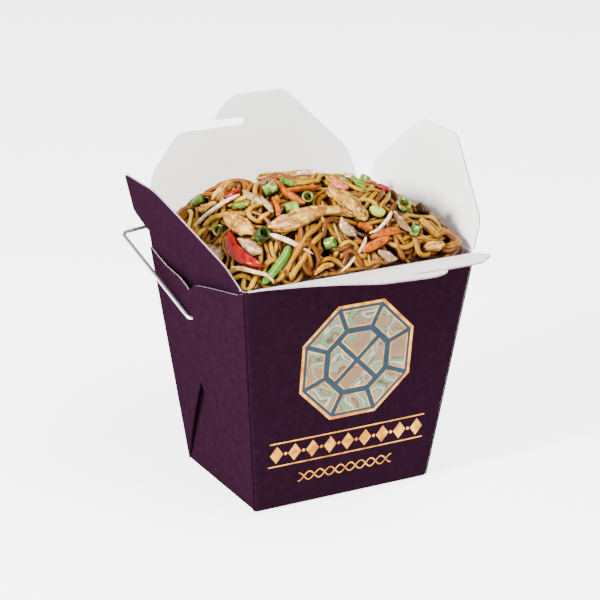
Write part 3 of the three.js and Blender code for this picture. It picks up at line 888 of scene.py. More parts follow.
# How squarely the heap falls off: to the left, to the right, and to the front and back.
FALL_LEFT = 5
FALL_RIGHT = 4
FALL_DEPTH = 2.5
NOODLE_LAYER = 2.2
CORE_DROP = 6.5
CORE_FLOOR = 100.0
CORE_PLAY = 0.5
CORE_EDGE = 0.3
CORE_GAP = 0.8
CORE_RISE = 1.5
CORE_LUMPS = 0.8
RIM_DROP = 2.6
# The share of the way to the walls from which the loose noodles lie shallower, and sag less.
SHALLOW_FROM = 0.75
SAG_LESS_FROM = 0.82


def mound(x, y, half, layer):
    """The height of the heap within half sizes, less a layer at its middle."""
    s = np.clip(x / half[0], -1, 1)
    t = np.clip(y / half[1], -1, 1)
    shift = HEAP_SHIFT * (1 - t * t) / half[1]
    across = 1 - np.abs(s) ** np.where(s < 0, FALL_LEFT, FALL_RIGHT)
    through = 1 - np.minimum(1, np.abs(t - shift)) ** FALL_DEPTH
    return HEIGHT - HEAP_FOOT + (HEAP_RISE * (1 + HEAP_TILT * s) - layer) * across * through


def heap_top(x, y):
    """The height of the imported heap's skin, in millimetres."""
    return mound(x, y, INNER, NOODLE_LAYER)


def heap_normal(x, y):
    slope_x = (heap_top(x + 1, y) - heap_top(x - 1, y)) / 2
    slope_y = (heap_top(x, y + 1) - heap_top(x, y - 1)) / 2
    return unit(np.stack([-slope_x, -slope_y, np.ones_like(slope_x)], axis=-1))


def directions(line):
    """The sideways and upward directions of a line on the heap at each of its points."""
    along = headings(line)
    side = unit(np.cross(heap_normal(line[:, 0], line[:, 1]), along))
    return side, np.cross(along, side)


def on_heap(x, y):
    return np.stack([x, y, heap_top(x, y)], axis=-1)


def walls_share(x, y):
    """How far towards the walls a place lies: 0 in the middle, 1 at a wall."""
    return np.maximum(np.abs(x) / INNER[0], np.abs(y) / INNER[1])


def heap_depth(x, y):
    """How deep the loose noodles lie over the dark core: less along the walls."""
    shallow = smooth_step(walls_share(x, y), SHALLOW_FROM, 1.0)
    return CORE_DROP + (RIM_DROP - CORE_DROP) * shallow


# Where the loose noodles sag between the humps of the crest: place to the right and away, turned
# to the camera's side, then how deep and how wide.
SAGS = (
    (-22.2, 5.0, 3.2, 4.5), (-5.5, 13.0, 4.0, 4.5), (8.8, 19.0, 3.2, 4.0), (21.5, 20.0, 4.2, 7.0),
    (35.0, 18.0, 3.4, 5.0), (45.0, 12.0, 3.4, 4.5),
)
SAG_LENGTH = 13.0
SAG_TURN = math.radians(-28.2)


def heap_sag(x, y):
    """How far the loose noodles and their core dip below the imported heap; nothing at the walls."""
    across = x * math.cos(SAG_TURN) + y * math.sin(SAG_TURN)
    away = y * math.cos(SAG_TURN) - x * math.sin(SAG_TURN)
    sag = sum(
        depth * np.exp(-((across - right) / width) ** 2 - ((away - back) / SAG_LENGTH) ** 2)
        for right, back, depth, width in SAGS)
    return sag * (1 - smooth_step(walls_share(x, y), SAG_LESS_FROM, 1.0))


# ------------------------------------------------------------------ toppings, read from their nodes


def welded(node):
    """A node's corners without doubles, in millimetres, and which corners share an edge."""
    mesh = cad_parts[node].data
    places = {}
    index = []
    for vertex in mesh.vertices:
        key = tuple(round(c * 1e6) for c in vertex.co)
        index.append(places.setdefault(key, len(places)))
    beside = [set() for _ in places]
    for polygon in mesh.polygons:
        ends = [index[i] for i in polygon.vertices]
        for i, end in enumerate(ends):
            beside[end].add(ends[i - 1])
            beside[ends[i - 1]].add(end)
    return np.array(list(places), float) / 1000, beside


def strip_stations(node):
    """Centre, half width, half thickness and directions of each station along a strip's node."""
    corners, beside = welded(node)
    for first in range(len(corners)):
        seen = {first}
        layers = [[first]]
        while True:
            after = set().union(*(beside[i] for i in layers[-1])) - seen
            if not after:
                break
            seen |= after
            layers.append(sorted(after))
        sizes = [len(layer) for layer in layers]
        if len(sizes) > 4 and sizes[-1] == 1 and len(set(sizes[1:-1])) == 1:
            break
    rings = [corners[layer] for layer in layers[1:-1]]
    centres = np.array([ring.mean(axis=0) for ring in rings])
    if centres[0, 0] > centres[-1, 0]:
        rings.reverse()
        centres = centres[::-1]
    side, up = directions(centres)
    half = np.array([[
        np.abs((ring - centre) @ s).max(), np.abs((ring - centre) @ u).max()]
        for ring, centre, s, u in zip(rings, centres, side, up)])
    return centres, side, up, half


def ring_axis(node):
    """Centre, axis, outer radius and length of a cut ring's node."""
    corners, _ = welded(node)
    centre = corners.mean(axis=0)
    spreads, axes = np.linalg.eigh(np.cov((corners - centre).T))
    odd = 0 if spreads[1] - spreads[0] > spreads[2] - spreads[1] else 2
    axis = axes[:, odd] * (1 if axes[2, odd] > 0 else -1)
    along = (corners - centre) @ axis
    radius = np.linalg.norm(corners - centre - np.outer(along, axis), axis=1).max()
    return centre, axis, radius, np.ptp(along)


STRIPS = {
    "chicken": ("chicken_long", "chicken_shred", "chicken_short", "chicken_right",
                "chicken_back_a", "chicken_back_b", "chicken_rear"),
    "red_pepper": ("pepper_curl", "pepper_right", "pepper_left", "pepper_low", "pepper_rear"),
    "spring_onion": ("bean", "leek_left"),
    "leaf_green": ("leaf_left", "leaf_right", "leaf_spring"),
    "pale_stem": ("stem_pale",),
    "carrot": ("carrot_front", "carrot_right", "carrot_under", "carrot_left", "carrot_top",
               "carrot_cross", "carrot_rear"),
    "bean_sprout": ("sprout_front_left", "sprout_right", "sprout_centre", "sprout_left",
                    "sprout_rear", "sprout_front"),
    "onion": ("onion_curl", "onion_left", "onion_front", "onion_violet", "onion_right",
              "onion_top", "onion_petal"),
    "red_onion": ("onion_pink",),
    "mushroom": ("mushroom_right",),
    "egg": ("egg_front", "egg_right"),
}
RINGS = ("ring_left", "ring_dark", "ring_upper_left", "ring_centre", "ring_middle", "ring_front",
         "ring_right", "ring_low_right", "ring_back", "ring_rear", "ring_rear_right")

# Toppings that lie in front, by the points where the camera sees their middle lines: half
# thickness and lift off the crown in millimetres, then right, down and half width of each point
# in pixels of the frame.
SEEN = {
    "chicken_long": (2, 1.6, ((268, 228, 3.5), (277.5, 225.75, 7), (288.75, 223, 9.5),
        (301.25, 217.5, 9.5), (312.5, 213.75, 7.5), (325, 211.25, 5), (340, 211.75, 3.5),
        (352.5, 215.75, 2.25))),
    "chicken_short": (1.9, 1.4, ((227, 216.25, 4), (232.5, 220.5, 7.5), (239.5, 224.5, 8.75),
        (246.25, 228.25, 7.25), (251.25, 231.75, 4.4), (254.25, 234, 2))),
    "chicken_shred": (2, 1.4, ((327, 189.5, 3.75), (335, 193, 6.75), (343, 198, 8.5),
        (351, 205, 9), (358, 211.5, 7.75), (363.5, 216.5, 6.25), (366.5, 220.5, 3.25))),
    "chicken_right": (1.8, 0.8, ((423, 249.5, 2.5), (429.5, 246.5, 4.25), (437, 246.25, 4.5),
        (444, 244.5, 2.5))),
    "chicken_back_a": (2, 1, ((232, 182, 2.25), (227.5, 186.25, 4.25), (221.5, 192, 5.5),
        (217, 197, 4.5), (213.75, 201.25, 2.5))),
    "pepper_curl": (1.9, 1.6, ((230.75, 230.5, 2.25), (230.25, 237.5, 5.5), (232, 246.25, 6.75),
        (238, 254, 7), (247, 260.5, 6), (257, 264.75, 4.25), (264.5, 267.75, 1.75))),
    "bean": (1.7, 0.8, ((288.5, 245.5, 3.25), (287, 252.5, 4.75), (282.5, 260.5, 5),
        (276.25, 268.25, 4.75), (269.5, 276.25, 4.5), (262.5, 284.5, 3.5))),
    "sprout_front_left": (0.9, 3.4, ((231.25, 267.75, 2), (242.5, 269, 2.5), (255, 272, 2.5),
        (266.25, 275.25, 2.25), (273.5, 280.75, 1.75), (276.25, 285, 1.25))),
    "sprout_centre": (1.1, 2.2, ((269.25, 234.25, 2), (280, 237.5, 2.75), (292.5, 242.75, 3.25),
        (305, 250, 2.5), (313.25, 254.25, 1.25))),
    "sprout_front": (0.9, 1.6, ((366.25, 237, 1.75), (363.75, 245, 2.25), (358.75, 252.5, 2.5),
        (352.5, 260.25, 2.25), (346.25, 267.5, 2), (341.5, 272, 1.5))),
    "sprout_right": (0.9, 3.2, ((391.5, 211.5, 1.75), (389, 217.5, 2.25), (383.75, 224, 2.25),
        (376.5, 230.5, 2), (369.25, 233.25, 1.5))),
    "sprout_left": (1.1, 2.2, ((194.5, 226.75, 1.75), (203.75, 217.5, 2.25), (215, 208.75, 2.75),
        (227.5, 200.5, 2.75), (240, 194.5, 2.25))),
    "carrot_front": (1.5, 1.8, ((361.5, 251.75, 2.25), (367.5, 248.75, 4.25), (375, 244.5, 5),
        (382.5, 240.75, 4.25), (389, 238, 2.5))),
    "carrot_right": (1.5, 0.9, ((371.25, 237.5, 2.5), (380, 234, 4.25), (390, 232, 4.75),
        (399.25, 231, 3.25))),
    "carrot_under": (1.4, 0.6, ((358.5, 224.5, 2), (365, 226.5, 3), (371.5, 229, 3))),
    "carrot_left": (1.2, 1.6, ((272.75, 198.25, 1.75), (276, 205, 2.5), (278, 211.25, 2.75),
        (278.75, 216.25, 2.25))),
    "carrot_top": (1.3, 1.2, ((273, 180.5, 2.75), (280.5, 188, 3.25), (292, 196, 3.25),
        (304.25, 205, 2.75))),
    "carrot_cross": (1.1, 2.6, ((287.5, 190.75, 2), (297, 189.25, 2.5), (306.5, 188, 2.5),
        (317, 187.5, 1.75))),
    "onion_violet": (1.6, 1.2, ((340.5, 218, 2.5), (344.5, 224.5, 6), (350, 230.5, 6.25),
        (355.5, 236, 2.5))),
    "onion_front": (1.7, 0.9, ((377, 250.75, 2.5), (384.5, 254.5, 6), (391.25, 257.75, 5.75),
        (396, 259.75, 2.25))),
    "onion_left": (1.9, 0.9, ((206.5, 245.5, 3), (213, 250.5, 6.5), (219.5, 255, 6.25),
        (224.5, 259, 2.25))),
    "onion_curl": (2, 0.6, ((239, 239.5, 3), (246, 243.5, 7), (254.25, 248.75, 7.5),
        (262.5, 253.5, 3.25))),
    "onion_petal": (1.4, 2, ((261.25, 197.5, 1.75), (266.25, 202.5, 3.25), (270.5, 208, 3.25),
        (273, 213, 1.5))),
    "onion_top": (1.6, 1, ((243, 192, 2.25), (251.25, 195.5, 4.5), (259.5, 200, 4.5),
        (266.25, 205, 2.25))),
    "onion_right": (1.5, 1.6, ((393, 212, 2), (399.5, 218.5, 4.5), (405.5, 225.5, 4.5),
        (411, 232, 2))),
    "leaf_left": (1.2, 2, ((232, 205.5, 1.5), (238.75, 204.75, 3.25), (245, 204.25, 3),
        (250.25, 203.5, 1.25))),
    "leaf_right": (1.4, 1, ((351, 176.5, 2), (356.5, 180, 4), (361.75, 185, 3.75),
        (365, 190.5, 1.75))),
    "leaf_spring": (1.4, 0.8, ((279.5, 178.5, 2.25), (285, 180.5, 4), (291.5, 183, 3.75),
        (296.5, 186.5, 1.75))),
    "stem_pale": (2, 1.8, ((369, 209, 3), (374.5, 210.5, 5.25), (380, 212.5, 5.25),
        (384.75, 214.5, 3))),
    "egg_front": (1.3, 1.4, ((314.5, 275.5, 1.5), (319, 270, 2.75), (325, 266, 3.25),
        (333, 265, 2))),
    "egg_right": (1.5, 1.2, ((419.5, 219, 2.25), (425, 225, 4.25), (431.5, 231, 4.25),
        (438, 237, 2.5))),
    "onion_pink": (1.9, 0.8, ((330.5, 180, 2.25), (337, 183, 5), (343, 186.25, 5),
        (348, 189.25, 2))),
    "pepper_left": (1.6, 0.8, ((224.5, 199.5, 1.75), (229, 196.5, 3.5), (234.5, 193.5, 3.5),
        (239.5, 191, 1.75))),
    "pepper_low": (1.4, 0.8, ((202, 211.5, 2), (206.25, 209.5, 3), (210.5, 207.5, 3),
        (215, 205.5, 1.75))),
}
# The reach of a line of sight, from, to and step, and how far past the crown's edge it still
# counts, in millimetres.
SIGHT_RANGE = (780, 1120, 0.1)
SIGHT_OVER = 1.5
# Rings in front: right and down in pixels of the frame, lift off the crown, and the way that the
# bore points.
SEEN_RINGS = {
    "ring_front": (330, 243, 1.2, (0.75, -0.6, 0.3)),
    "ring_right": (404.75, 205.5, 1.6, (-0.4, -0.6, 0.6)),
    "ring_low_right": (415, 229.5, 1.6, (0.3, -0.2, 0.9)),
}
# Rings that were set one by one: their middles in millimetres, and the way that their bores point.
SET_RINGS = {
    "ring_left": ((-48.5, -10.5, 121.8), (-0.5, -0.8, 0.5)),
    "ring_dark": ((-39.3, -32.9, 125.2), (0.15, -0.75, 0.6)),
    "ring_upper_left": ((-26.8, -15.3, 138.4), (0.75, -0.15, 0.3)),
    "ring_centre": ((-13.3, -23.9, 134.9), (-0.5, -0.7, 0.5)),
    "ring_middle": ((-22.8, -27.8, 133.2), (0.85, -0.45, 0.25)),
    "ring_back": ((-34.0, 34.5, 120.0), (0.8, -0.1, 0.6)),
}


def seen_place(right, down, lift):
    """Where the line of sight through a point of the frame meets the heap's crown, raised by a
    lift, and how many millimetres a pixel spans there.
    """
    rightward, upward, backward = camera_axes()
    focal = CAMERA_LENS / SENSOR * FRAME_SIDE
    middle = FRAME_SIDE / 2
    sight = (rightward * (right - middle) - upward * (down - middle)) / focal - backward
    sight /= np.linalg.norm(sight)
    line = np.array(CAMERA_AT) + sight * np.arange(*SIGHT_RANGE)[:, None]
    x, y, z = line.T
    over = (np.abs(x) <= CROWN[0] + SIGHT_OVER) & (np.abs(y) <= CROWN[1] + SIGHT_OVER)
    place = line[np.argmax(over & (z <= mound(x, y, CROWN, 0) + lift))]
    return place, (CAMERA_AT - place) @ backward / focal


def seen_stations(node):
    """Stations of a topping from its points, inside the walls and set on the heap's own slope."""
    thick, lift, points = SEEN[node]
    reach = CROWN[0] - thick
    rows = []
    for right, down, wide in points:
        (x, y, z), scale = seen_place(right, down, lift)
        rows.append((min(max(x, -reach), reach), max(y, thick - CROWN[1] - 0.5), z,
                     max(wide * scale, 0.5)))
    rows = np.round(rows, 1)
    centres = rows[:, :3]
    half = np.stack([rows[:, 3], np.full(len(rows), thick)], axis=1)
    return (centres, *directions(centres), half)


def placed_ring(node):
    centre, axis, radius, length = ring_axis(node)
    if node in SEEN_RINGS:
        right, down, lift, axis = SEEN_RINGS[node]
        centre = np.round(seen_place(right, down, lift)[0], 1)
    if node in SET_RINGS:
        centre, axis = SET_RINGS[node]
    axis = np.array(axis)
    return np.array(centre), axis / np.linalg.norm(axis), radius, length


stations = {
    node: seen_stations(node) if node in SEEN else strip_stations(node)
    for nodes in STRIPS.values() for node in nodes}
ring_places = {node: placed_ring(node) for node in RINGS}


def topping_balls():
    """Balls that fill the toppings, so that noodles stay under them."""
    centres = []
    radii = []
    for centre, side, _, half in stations.values():
        for at, across, (wide, thick) in zip(centre, side, half):
            count = max(1, round(wide / thick))
            for k in range(count):
                shift = (k - (count - 1) / 2) * 2 * (wide - thick) / max(1, count - 1)
                centres.append(at + across * (shift if count > 1 else 0))
                radii.append(thick)
    for centre, axis, radius, length in ring_places.values():
        for share in (-0.3, 0.3):
            centres.append(centre + axis * share * length)
            radii.append(radius)
    return np.array(centres), np.array(radii)


# ------------------------------------------------------------------ noodles

STRAND = 1.1
STRAND_STEP = 1.5
STRAND_SIDES = 8
STRAND_SPREAD = (0.88, 1.1)
STRAND_COUNT = (24, 60)
STRAND_DRIFT = 0.04
STRAND_PITCH = 2.08
BUNDLES = 310
STRAND_TRIES = 9
SQUEEZE = 0.84
PILE_OVER = 2.6
CLASH_LIMIT = 14.0
PILE_REACH = (53.4, 45.8)
# From this share of the reach on, a strand turns for home, up to so many radians a step.
WALL_NEAR = 0.88
WALL_TURN = 0.4
CURL_FLIP = 0.06
CURL_PULL = 0.09
MOST_BEND = 0.36
# How far round a strand others are looked for, how steeply it climbs, and how deep its ends dip.
NEAR = 16
CLIMB = 0.6
END_DIP = 3.0
END_POINTS = 5
# How closely a strand may pass under a topping, and the height where nothing is above it.
ROOF_SQUEEZE = 0.95
OPEN_ABOVE = 99
# What counts against a route, besides its mean height: its highest point and its clashes.
PEAK_COST = 0.3
CLASH_COST = 1.5
# A strand beside another one wavers by this share, and by this much of a turn at each point.
WAVER = 0.12
WAVER_TURN = 0.3
FRONT_FROM = 0.75
LEFT_FROM = 0.8
COIL_FLAT = 0.75
STRAND_TIP = 0.55
STRAND_UNEVEN = 0.05
STRAND_WAVE = 0.9
CURLS = (0.08, 0.12, 0.16, 0.2, 0.26, 0.32)
COILS = (
    # centre x and y, first radius, growth each turn, turns
    (45.5, -39.5, 2.6, 1.6, 2.2),
    (1.5, -41.0, 2.4, 0.8, 1.3),
    (-23.0, -41.5, 4.2, 0.6, 1.2),
    (24.0, -41.0, 5.0, 0.8, 0.9),
    (-7.0, -36.0, 5.5, 0.8, 1.1),
    (11.0, -29.0, 5.2, 0.8, 1.0),
    (-34.0, -22.0, 4.5, 0.8, 1.1),
    (37.0, -36.5, 4.6, 0.8, 1.2),
    (31.0, -42.0, 3.4, 0.8, 1.3),
    (-39.0, -42.0, 3.2, 0.8, 1.2),
    (11.0, -42.5, 3.0, 0.8, 1.3),
)


def wander(start, heading, count, curl):
    """A route over the heap: a walk on its skin whose bend changes slowly and turns at the walls."""
    x, y = start
    route = []
    bend = curl
    for _ in range(count):
        normal = heap_normal(np.float64(x), np.float64(y))
        slope = -normal[:2] / normal[2]
        run = np.array([math.cos(heading), math.sin(heading)])
        rise = float(run @ slope)
        step = STRAND_STEP / math.sqrt(1 + rise * rise)
        x += run[0] * step
        y += run[1] * step
        if abs(x) > PILE_REACH[0]:
            x = math.copysign(2 * PILE_REACH[0] - abs(x), x)
            heading = math.pi - heading
        if abs(y) > PILE_REACH[1]:
            y = math.copysign(2 * PILE_REACH[1] - abs(y), y)
            heading = -heading
        over = max(abs(x) / PILE_REACH[0], abs(y) / PILE_REACH[1])
        if over > WALL_NEAR:
            home = math.atan2(-y, -x)
            turn = (home - heading + math.pi) % (2 * math.pi) - math.pi
            turn = math.copysign(min(abs(turn), 1.0), turn)
            heading += WALL_TURN * turn * (over - WALL_NEAR) / (1 - WALL_NEAR)
        if rng.random() < CURL_FLIP:
            curl = -curl
        bend += STRAND_DRIFT * rng.normal() - CURL_PULL * (bend - curl)
        bend = min(max(bend, -MOST_BEND), MOST_BEND)
        heading += bend
        route.append((x, y))
    return np.array(route)


def coil_route(x, y, first, growth, turns):
    """A strand wound on itself."""
    count = int(turns * 2 * math.pi * (first + growth * turns / 2) / STRAND_STEP) + 6
    angles = np.linspace(0, turns * 2 * math.pi, count) + x
    radii = first + growth * (angles - angles[0]) / (2 * math.pi)
    route = np.stack(
        [x + radii * np.cos(angles), y + COIL_FLAT * radii * np.sin(angles)], axis=1)
    return np.clip(route, (-PILE_REACH[0], -PILE_REACH[1]), PILE_REACH)


def lifts_over(feet, normals, radius, centres, radii):
    """How far each foot's ball must rise along its normal to clear the balls already laid."""
    lifts = np.full(len(feet), radius)
    low = feet.min(axis=0) - NEAR
    high = feet.max(axis=0) + NEAR
    near = ((centres > low) & (centres < high)).all(axis=1)
    if near.any():
        offset = centres[near][None] - feet[:, None]
        along = np.einsum("ijk,ik->ij", offset, normals)
        apart = np.einsum("ijk,ijk->ij", offset, offset) - along ** 2
        reach = (radius + radii[near][None]) * SQUEEZE
        touch = along + np.sqrt(np.maximum(reach ** 2 - apart, 0))
        touch = np.where(apart < reach ** 2, touch, 0)
        lifts = np.maximum(lifts, touch.max(axis=1))
    return lifts


def ceilings(feet, normals, radius, centres, radii):
    """How far each foot's ball may rise before it meets a topping."""
    offset = centres[None] - feet[:, None]
    along = np.einsum("ijk,ik->ij", offset, normals)
    apart = np.einsum("ijk,ijk->ij", offset, offset) - along ** 2
    reach = (radius + radii[None]) * ROOF_SQUEEZE
    under = along - np.sqrt(np.maximum(reach ** 2 - apart, 0))
    return np.where(apart < reach ** 2, under, OPEN_ABOVE).min(axis=1)


def relaxed(lifts):
    """Heights that a stiff strand takes: it spans dips and climbs slowly."""
    count = len(lifts)
    apart = np.abs(np.arange(count)[:, None] - np.arange(count)[None])
    taken = (lifts[None] - apart * CLIMB * STRAND_STEP).max(axis=1)
    for _ in range(5):
        middle = (taken[:-2] + taken[2:]) / 2
        taken[1:-1] = np.maximum(taken[1:-1], middle)
    return taken


def from_ends(count):
    """How many points each point of a line lies from its nearer end."""
    return np.minimum(np.arange(count), np.arange(count)[::-1])


def softened(line, rounds):
    for _ in range(rounds):
        line[1:-1] = line[1:-1] * 0.5 + (line[:-2] + line[2:]) * 0.25
    return line


def lay_strand(route, radius, laid, radii, roof):
    """The centre line of a strand on its route, how high it lies, and how much it clashes."""
    core = on_heap(route[:, 0], route[:, 1])
    normals = heap_normal(route[:, 0], route[:, 1])
    depth = heap_depth(route[:, 0], route[:, 1])
    feet = core - normals * (depth + heap_sag(route[:, 0], route[:, 1]))[:, None]
    lifts = relaxed(lifts_over(feet, normals, radius, laid, radii))
    room = np.minimum(ceilings(feet, normals, radius, *roof), depth + PILE_OVER)
    clash = np.maximum(lifts - room, 0).sum()
    end = from_ends(len(lifts))
    lifts = np.minimum(lifts, np.maximum(room, radius))
    lifts = lifts - END_DIP * np.clip(1 - end / END_POINTS, 0, 1) ** 2
    line = softened(feet + normals * lifts[:, None], 3)
    for axis in (0, 1):
        limit = INNER[axis] - radius + 0.1
        line[:, axis] = np.clip(line[:, axis], -limit, limit)
    return line, lifts.mean() + PEAK_COST * lifts.max(), clash


def strand_start(number):
    """Where a strand starts: two in five at the front, where the heap shows most, and one in
    nine at the left.
    """
    spot = rng.uniform(-1, 1, 2)
    if number % 5 in (0, 2):
        spot[1] = -rng.uniform(FRONT_FROM, 1)
    if number % 9 == 0:
        spot[0] = -rng.uniform(LEFT_FROM, 1)
    return spot * PILE_REACH


def beside(route, shift):
    """A route that keeps beside another one."""
    along = headings(route)
    waver = np.sin(np.arange(len(route)) * WAVER_TURN + shift)
    shift = shift * (1 + WAVER * waver)
    moved = route + np.stack([-along[:, 1], along[:, 0]], axis=1) * shift[:, None]
    return np.clip(moved, (-PILE_REACH[0], -PILE_REACH[1]), PILE_REACH)


def noodle_pile():
    """Strands laid in small bundles one on another, each bundle the best of a few tries."""
    roof = topping_balls()
    laid = np.zeros((0, 3))
    radii = np.zeros(0)
    strands = []
    for number in range(BUNDLES):
        radius = STRAND * rng.uniform(*STRAND_SPREAD)
        count = int(rng.uniform(*STRAND_COUNT))
        curl = rng.choice(CURLS) * rng.choice([-1, 1])
        best = None
        for _ in range(STRAND_TRIES):
            route = wander(strand_start(number), rng.uniform(0, 2 * math.pi), count, curl)
            line, height, clash = lay_strand(route, radius, laid, radii, roof)
            cost = height + CLASH_COST * clash
            if best is None or cost < best[0]:
                best = (cost, route)
        side = rng.choice([-1, 1])
        for k in range(int(rng.choice((1, 1, 2, 2, 3)))):
            route = beside(best[1], side * k * STRAND_PITCH * radius)[int(rng.uniform(0, 5)):]
            line, _, clash = lay_strand(route, radius, laid, radii, roof)
            if clash > CLASH_LIMIT:
                continue
            laid = np.concatenate([laid, line])
            radii = np.concatenate([radii, np.full(len(line), radius)])
            strands.append((line, radius))
    for coil in COILS:
        line = lay_strand(coil_route(*coil), STRAND, laid, radii, roof)[0]
        laid = np.concatenate([laid, line])
        radii = np.concatenate([radii, np.full(len(line), STRAND)])
        strands.append((line, STRAND))
    return strands


def tube(line, radius, sides):
    """Rings of points round a line, its ends drawn in, without twist."""
    along = headings(line)
    side = np.cross(along[0], (0, 0, 1))
    frames = []
    for direction in along:
        side = side - direction * (side @ direction)
        side /= np.linalg.norm(side)
        frames.append((side, np.cross(direction, side)))
    count = len(line)
    end = from_ends(count)
    uneven = 1 + STRAND_UNEVEN * np.sin(np.arange(count) * STRAND_WAVE)
    size = radius * np.where(end == 0, STRAND_TIP, 1.0) * uneven
    angles = np.arange(sides) * 2 * math.pi / sides
    return np.concatenate([
        centre + r * (np.cos(angles)[:, None] * a + np.sin(angles)[:, None] * b)
        for centre, r, (a, b) in zip(line, size, frames)])


def tube_faces(count, sides, first):
    faces = []
    for i in range(count - 1):
        for k in range(sides):
            n = (k + 1) % sides
            low = first + i * sides
            faces.append((low + k, low + n, low + sides + n, low + sides + k))
    faces.append(tuple(first + k for k in reversed(range(sides))))
    faces.append(tuple(first + (count - 1) * sides + k for k in range(sides)))
    return faces


def strand_piece(name, strands, tones):
    """Many strands as one mesh, with a tone for each."""
    points = []
    faces = []
    tone = []
    for (line, radius), value in zip(strands, tones):
        faces += tube_faces(len(line), STRAND_SIDES, len(tone))
        points.append(tube(line, radius, STRAND_SIDES))
        tone += [value] * (len(line) * STRAND_SIDES)
    mesh = bpy.data.meshes.new(name)
    mesh.from_pydata((np.concatenate(points) * MM).tolist(), [], faces)
    layer = mesh.attributes.new("tone", "FLOAT", "POINT")
    layer.data.foreach_set("value", tone)
    piece = bpy.data.objects.new(name, mesh)
    bpy.context.collection.objects.link(piece)
    face_outwards(piece)
    smooth(piece, 60)
    return piece


# ------------------------------------------------------------------ topping shapes


def ripple(seed, along_waves, around_waves, terms=6, least=0):
    """A smooth random height over a strip: along runs 0 to 1, around runs 0 to 1 and closes."""
    draws = np.random.default_rng(seed)
    waves = [(draws.uniform(0, along_waves), int(draws.integers(least, around_waves + 1)),
              draws.uniform(0, 2 * math.pi), draws.uniform(0.5, 1)) for _ in range(terms)]

    def height(along, around):
        total = sum(size * np.sin(2 * math.pi * (a * along + b * around) + phase)
                    for a, b, phase, size in waves)
        return total / math.sqrt(terms)
    return height


def resampled(stations_of, shares):
    """Stations at new shares of a strip's length, on a smooth curve through the old ones."""
    centre, side, up, half = stations_of
    run = np.concatenate([[0], np.cumsum(np.linalg.norm(np.diff(centre, axis=0), axis=1))])
    run /= run[-1]
    result = []
    for rows in (centre, side, up, half):
        slopes = np.gradient(rows, run, axis=0)
        index = np.clip(np.searchsorted(run, shares) - 1, 0, len(run) - 2)
        gap = (run[index + 1] - run[index])[:, None]
        t = ((shares - run[index])[:, None]) / gap
        t2, t3 = t * t, t ** 3
        result.append(
            rows[index] * (2 * t3 - 3 * t2 + 1) + slopes[index] * gap * (t3 - 2 * t2 + t)
            + rows[index + 1] * (3 * t2 - 2 * t3) + slopes[index + 1] * gap * (t3 - t2))
    return result


# The texture map along a strip, and how many millimetres one of its units spans.
STRIP_MAP = "strip"
STRIP_SPAN = 10


def loft(name, stations_of, section, cuts=30, around=20, fray=0.0):
    """A strip: a cylinder cut along its length, each point moved to its place in the section.

    The section gives sideways and upward shares of the half width and half thickness, from the
    share along the strip and the angle round it.
    """
    deselect()
    bpy.ops.mesh.primitive_cylinder_add(
        vertices=around, radius=1.0, depth=1.0, end_fill_type="TRIFAN")
    strip = bpy.context.object
    strip.name = name
    cut_grid(strip, 1.0 / cuts, (2,))
    points = points_of(strip)
    along = points[:, 2] + 0.5
    hub = np.hypot(points[:, 0], points[:, 1]) < 0.5
    angle = np.arctan2(points[:, 1], points[:, 0])
    reach = along + fray * ripple(len(name), 0, 5, 5, 1)(along, angle / (2 * math.pi)) * (
        np.abs(2 * along - 1) ** 3)
    centre, side, up, half = resampled(stations_of, np.clip(reach, 0, 1))
    across, rise = section(along, angle)
    middle = strip_middle(section, along)
    across = np.where(hub, middle[0], across)
    rise = np.where(hub, middle[1], rise)
    placed = centre + side * (across * half[:, 0])[:, None] + up * (rise * half[:, 1])[:, None]
    layer = strip.data.uv_layers.active
    layer.name = STRIP_MAP
    length = np.linalg.norm(np.diff(stations_of[0], axis=0), axis=1).sum()
    round_top = np.arctan2(points[:, 0], points[:, 1])
    for loop in strip.data.loops:
        i = loop.vertex_index
        layer.data[loop.index].uv = (
            along[i] * length / STRIP_SPAN, round_top[i] * half[i, 0] / STRIP_SPAN)
    move_points(strip, placed * MM)
    face_outwards(strip)
    refine(strip)
    smooth(strip, 60)
    return strip


def strip_middle(section, along):
    """The middle of the section, for the points at the hubs of the two ends."""
    total = np.zeros((2, len(along)))
    for angle in np.linspace(-math.pi, math.pi, 8, endpoint=False):
        total += np.array(section(along, np.full(len(along), angle)))
    return total / 8


def rounded_ends(along, sharpness, least):
    return np.maximum(least, (1 - np.abs(2 * along - 1) ** sharpness) ** 0.5)


def box_section(angle, power):
    """A rounded square of half size one: power 2 is a circle, a high power a sharp square."""
    c, s = np.cos(angle), np.sin(angle)
    size = (np.abs(c) ** power + np.abs(s) ** power) ** (-1 / power)
    return c * size, s * size


def meat_section(seed, tail):
    """Cooked chicken torn along its fibres: grooved faces, ragged sides, frayed ends."""
    edge = ripple(seed, 9, 1)
    fibres = ripple(seed + 1, 2.0, 18, 16, 8)
    lumps = ripple(seed + 2, 5, 3)

    def section(along, angle):
        around = angle / (2 * math.pi)
        ends = rounded_ends(along, 14.0, 0.55) * (1 - (1 - tail) * np.clip(along * 4 - 3, 0, 1))
        x, y = box_section(angle, 4.5)
        size = 1 + 0.07 * fibres(along, around) + 0.06 * lumps(along, around)
        return (x * size * ends * (1 + 0.12 * edge(along, around)), y * size * ends)
    return section


def round_section(seed, wave=0.05, least=0.2, tail=1.0):
    """A round stalk that tapers to its tail."""
    uneven = ripple(seed, 4, 2)

    def section(along, angle):
        x, y = box_section(angle, 2.0)
        size = (1 + wave * uneven(along, angle / (2 * math.pi))) * rounded_ends(along, 10, least)
        size = size * (1 + (tail - 1) * along)
        return x * size, y * size
    return section


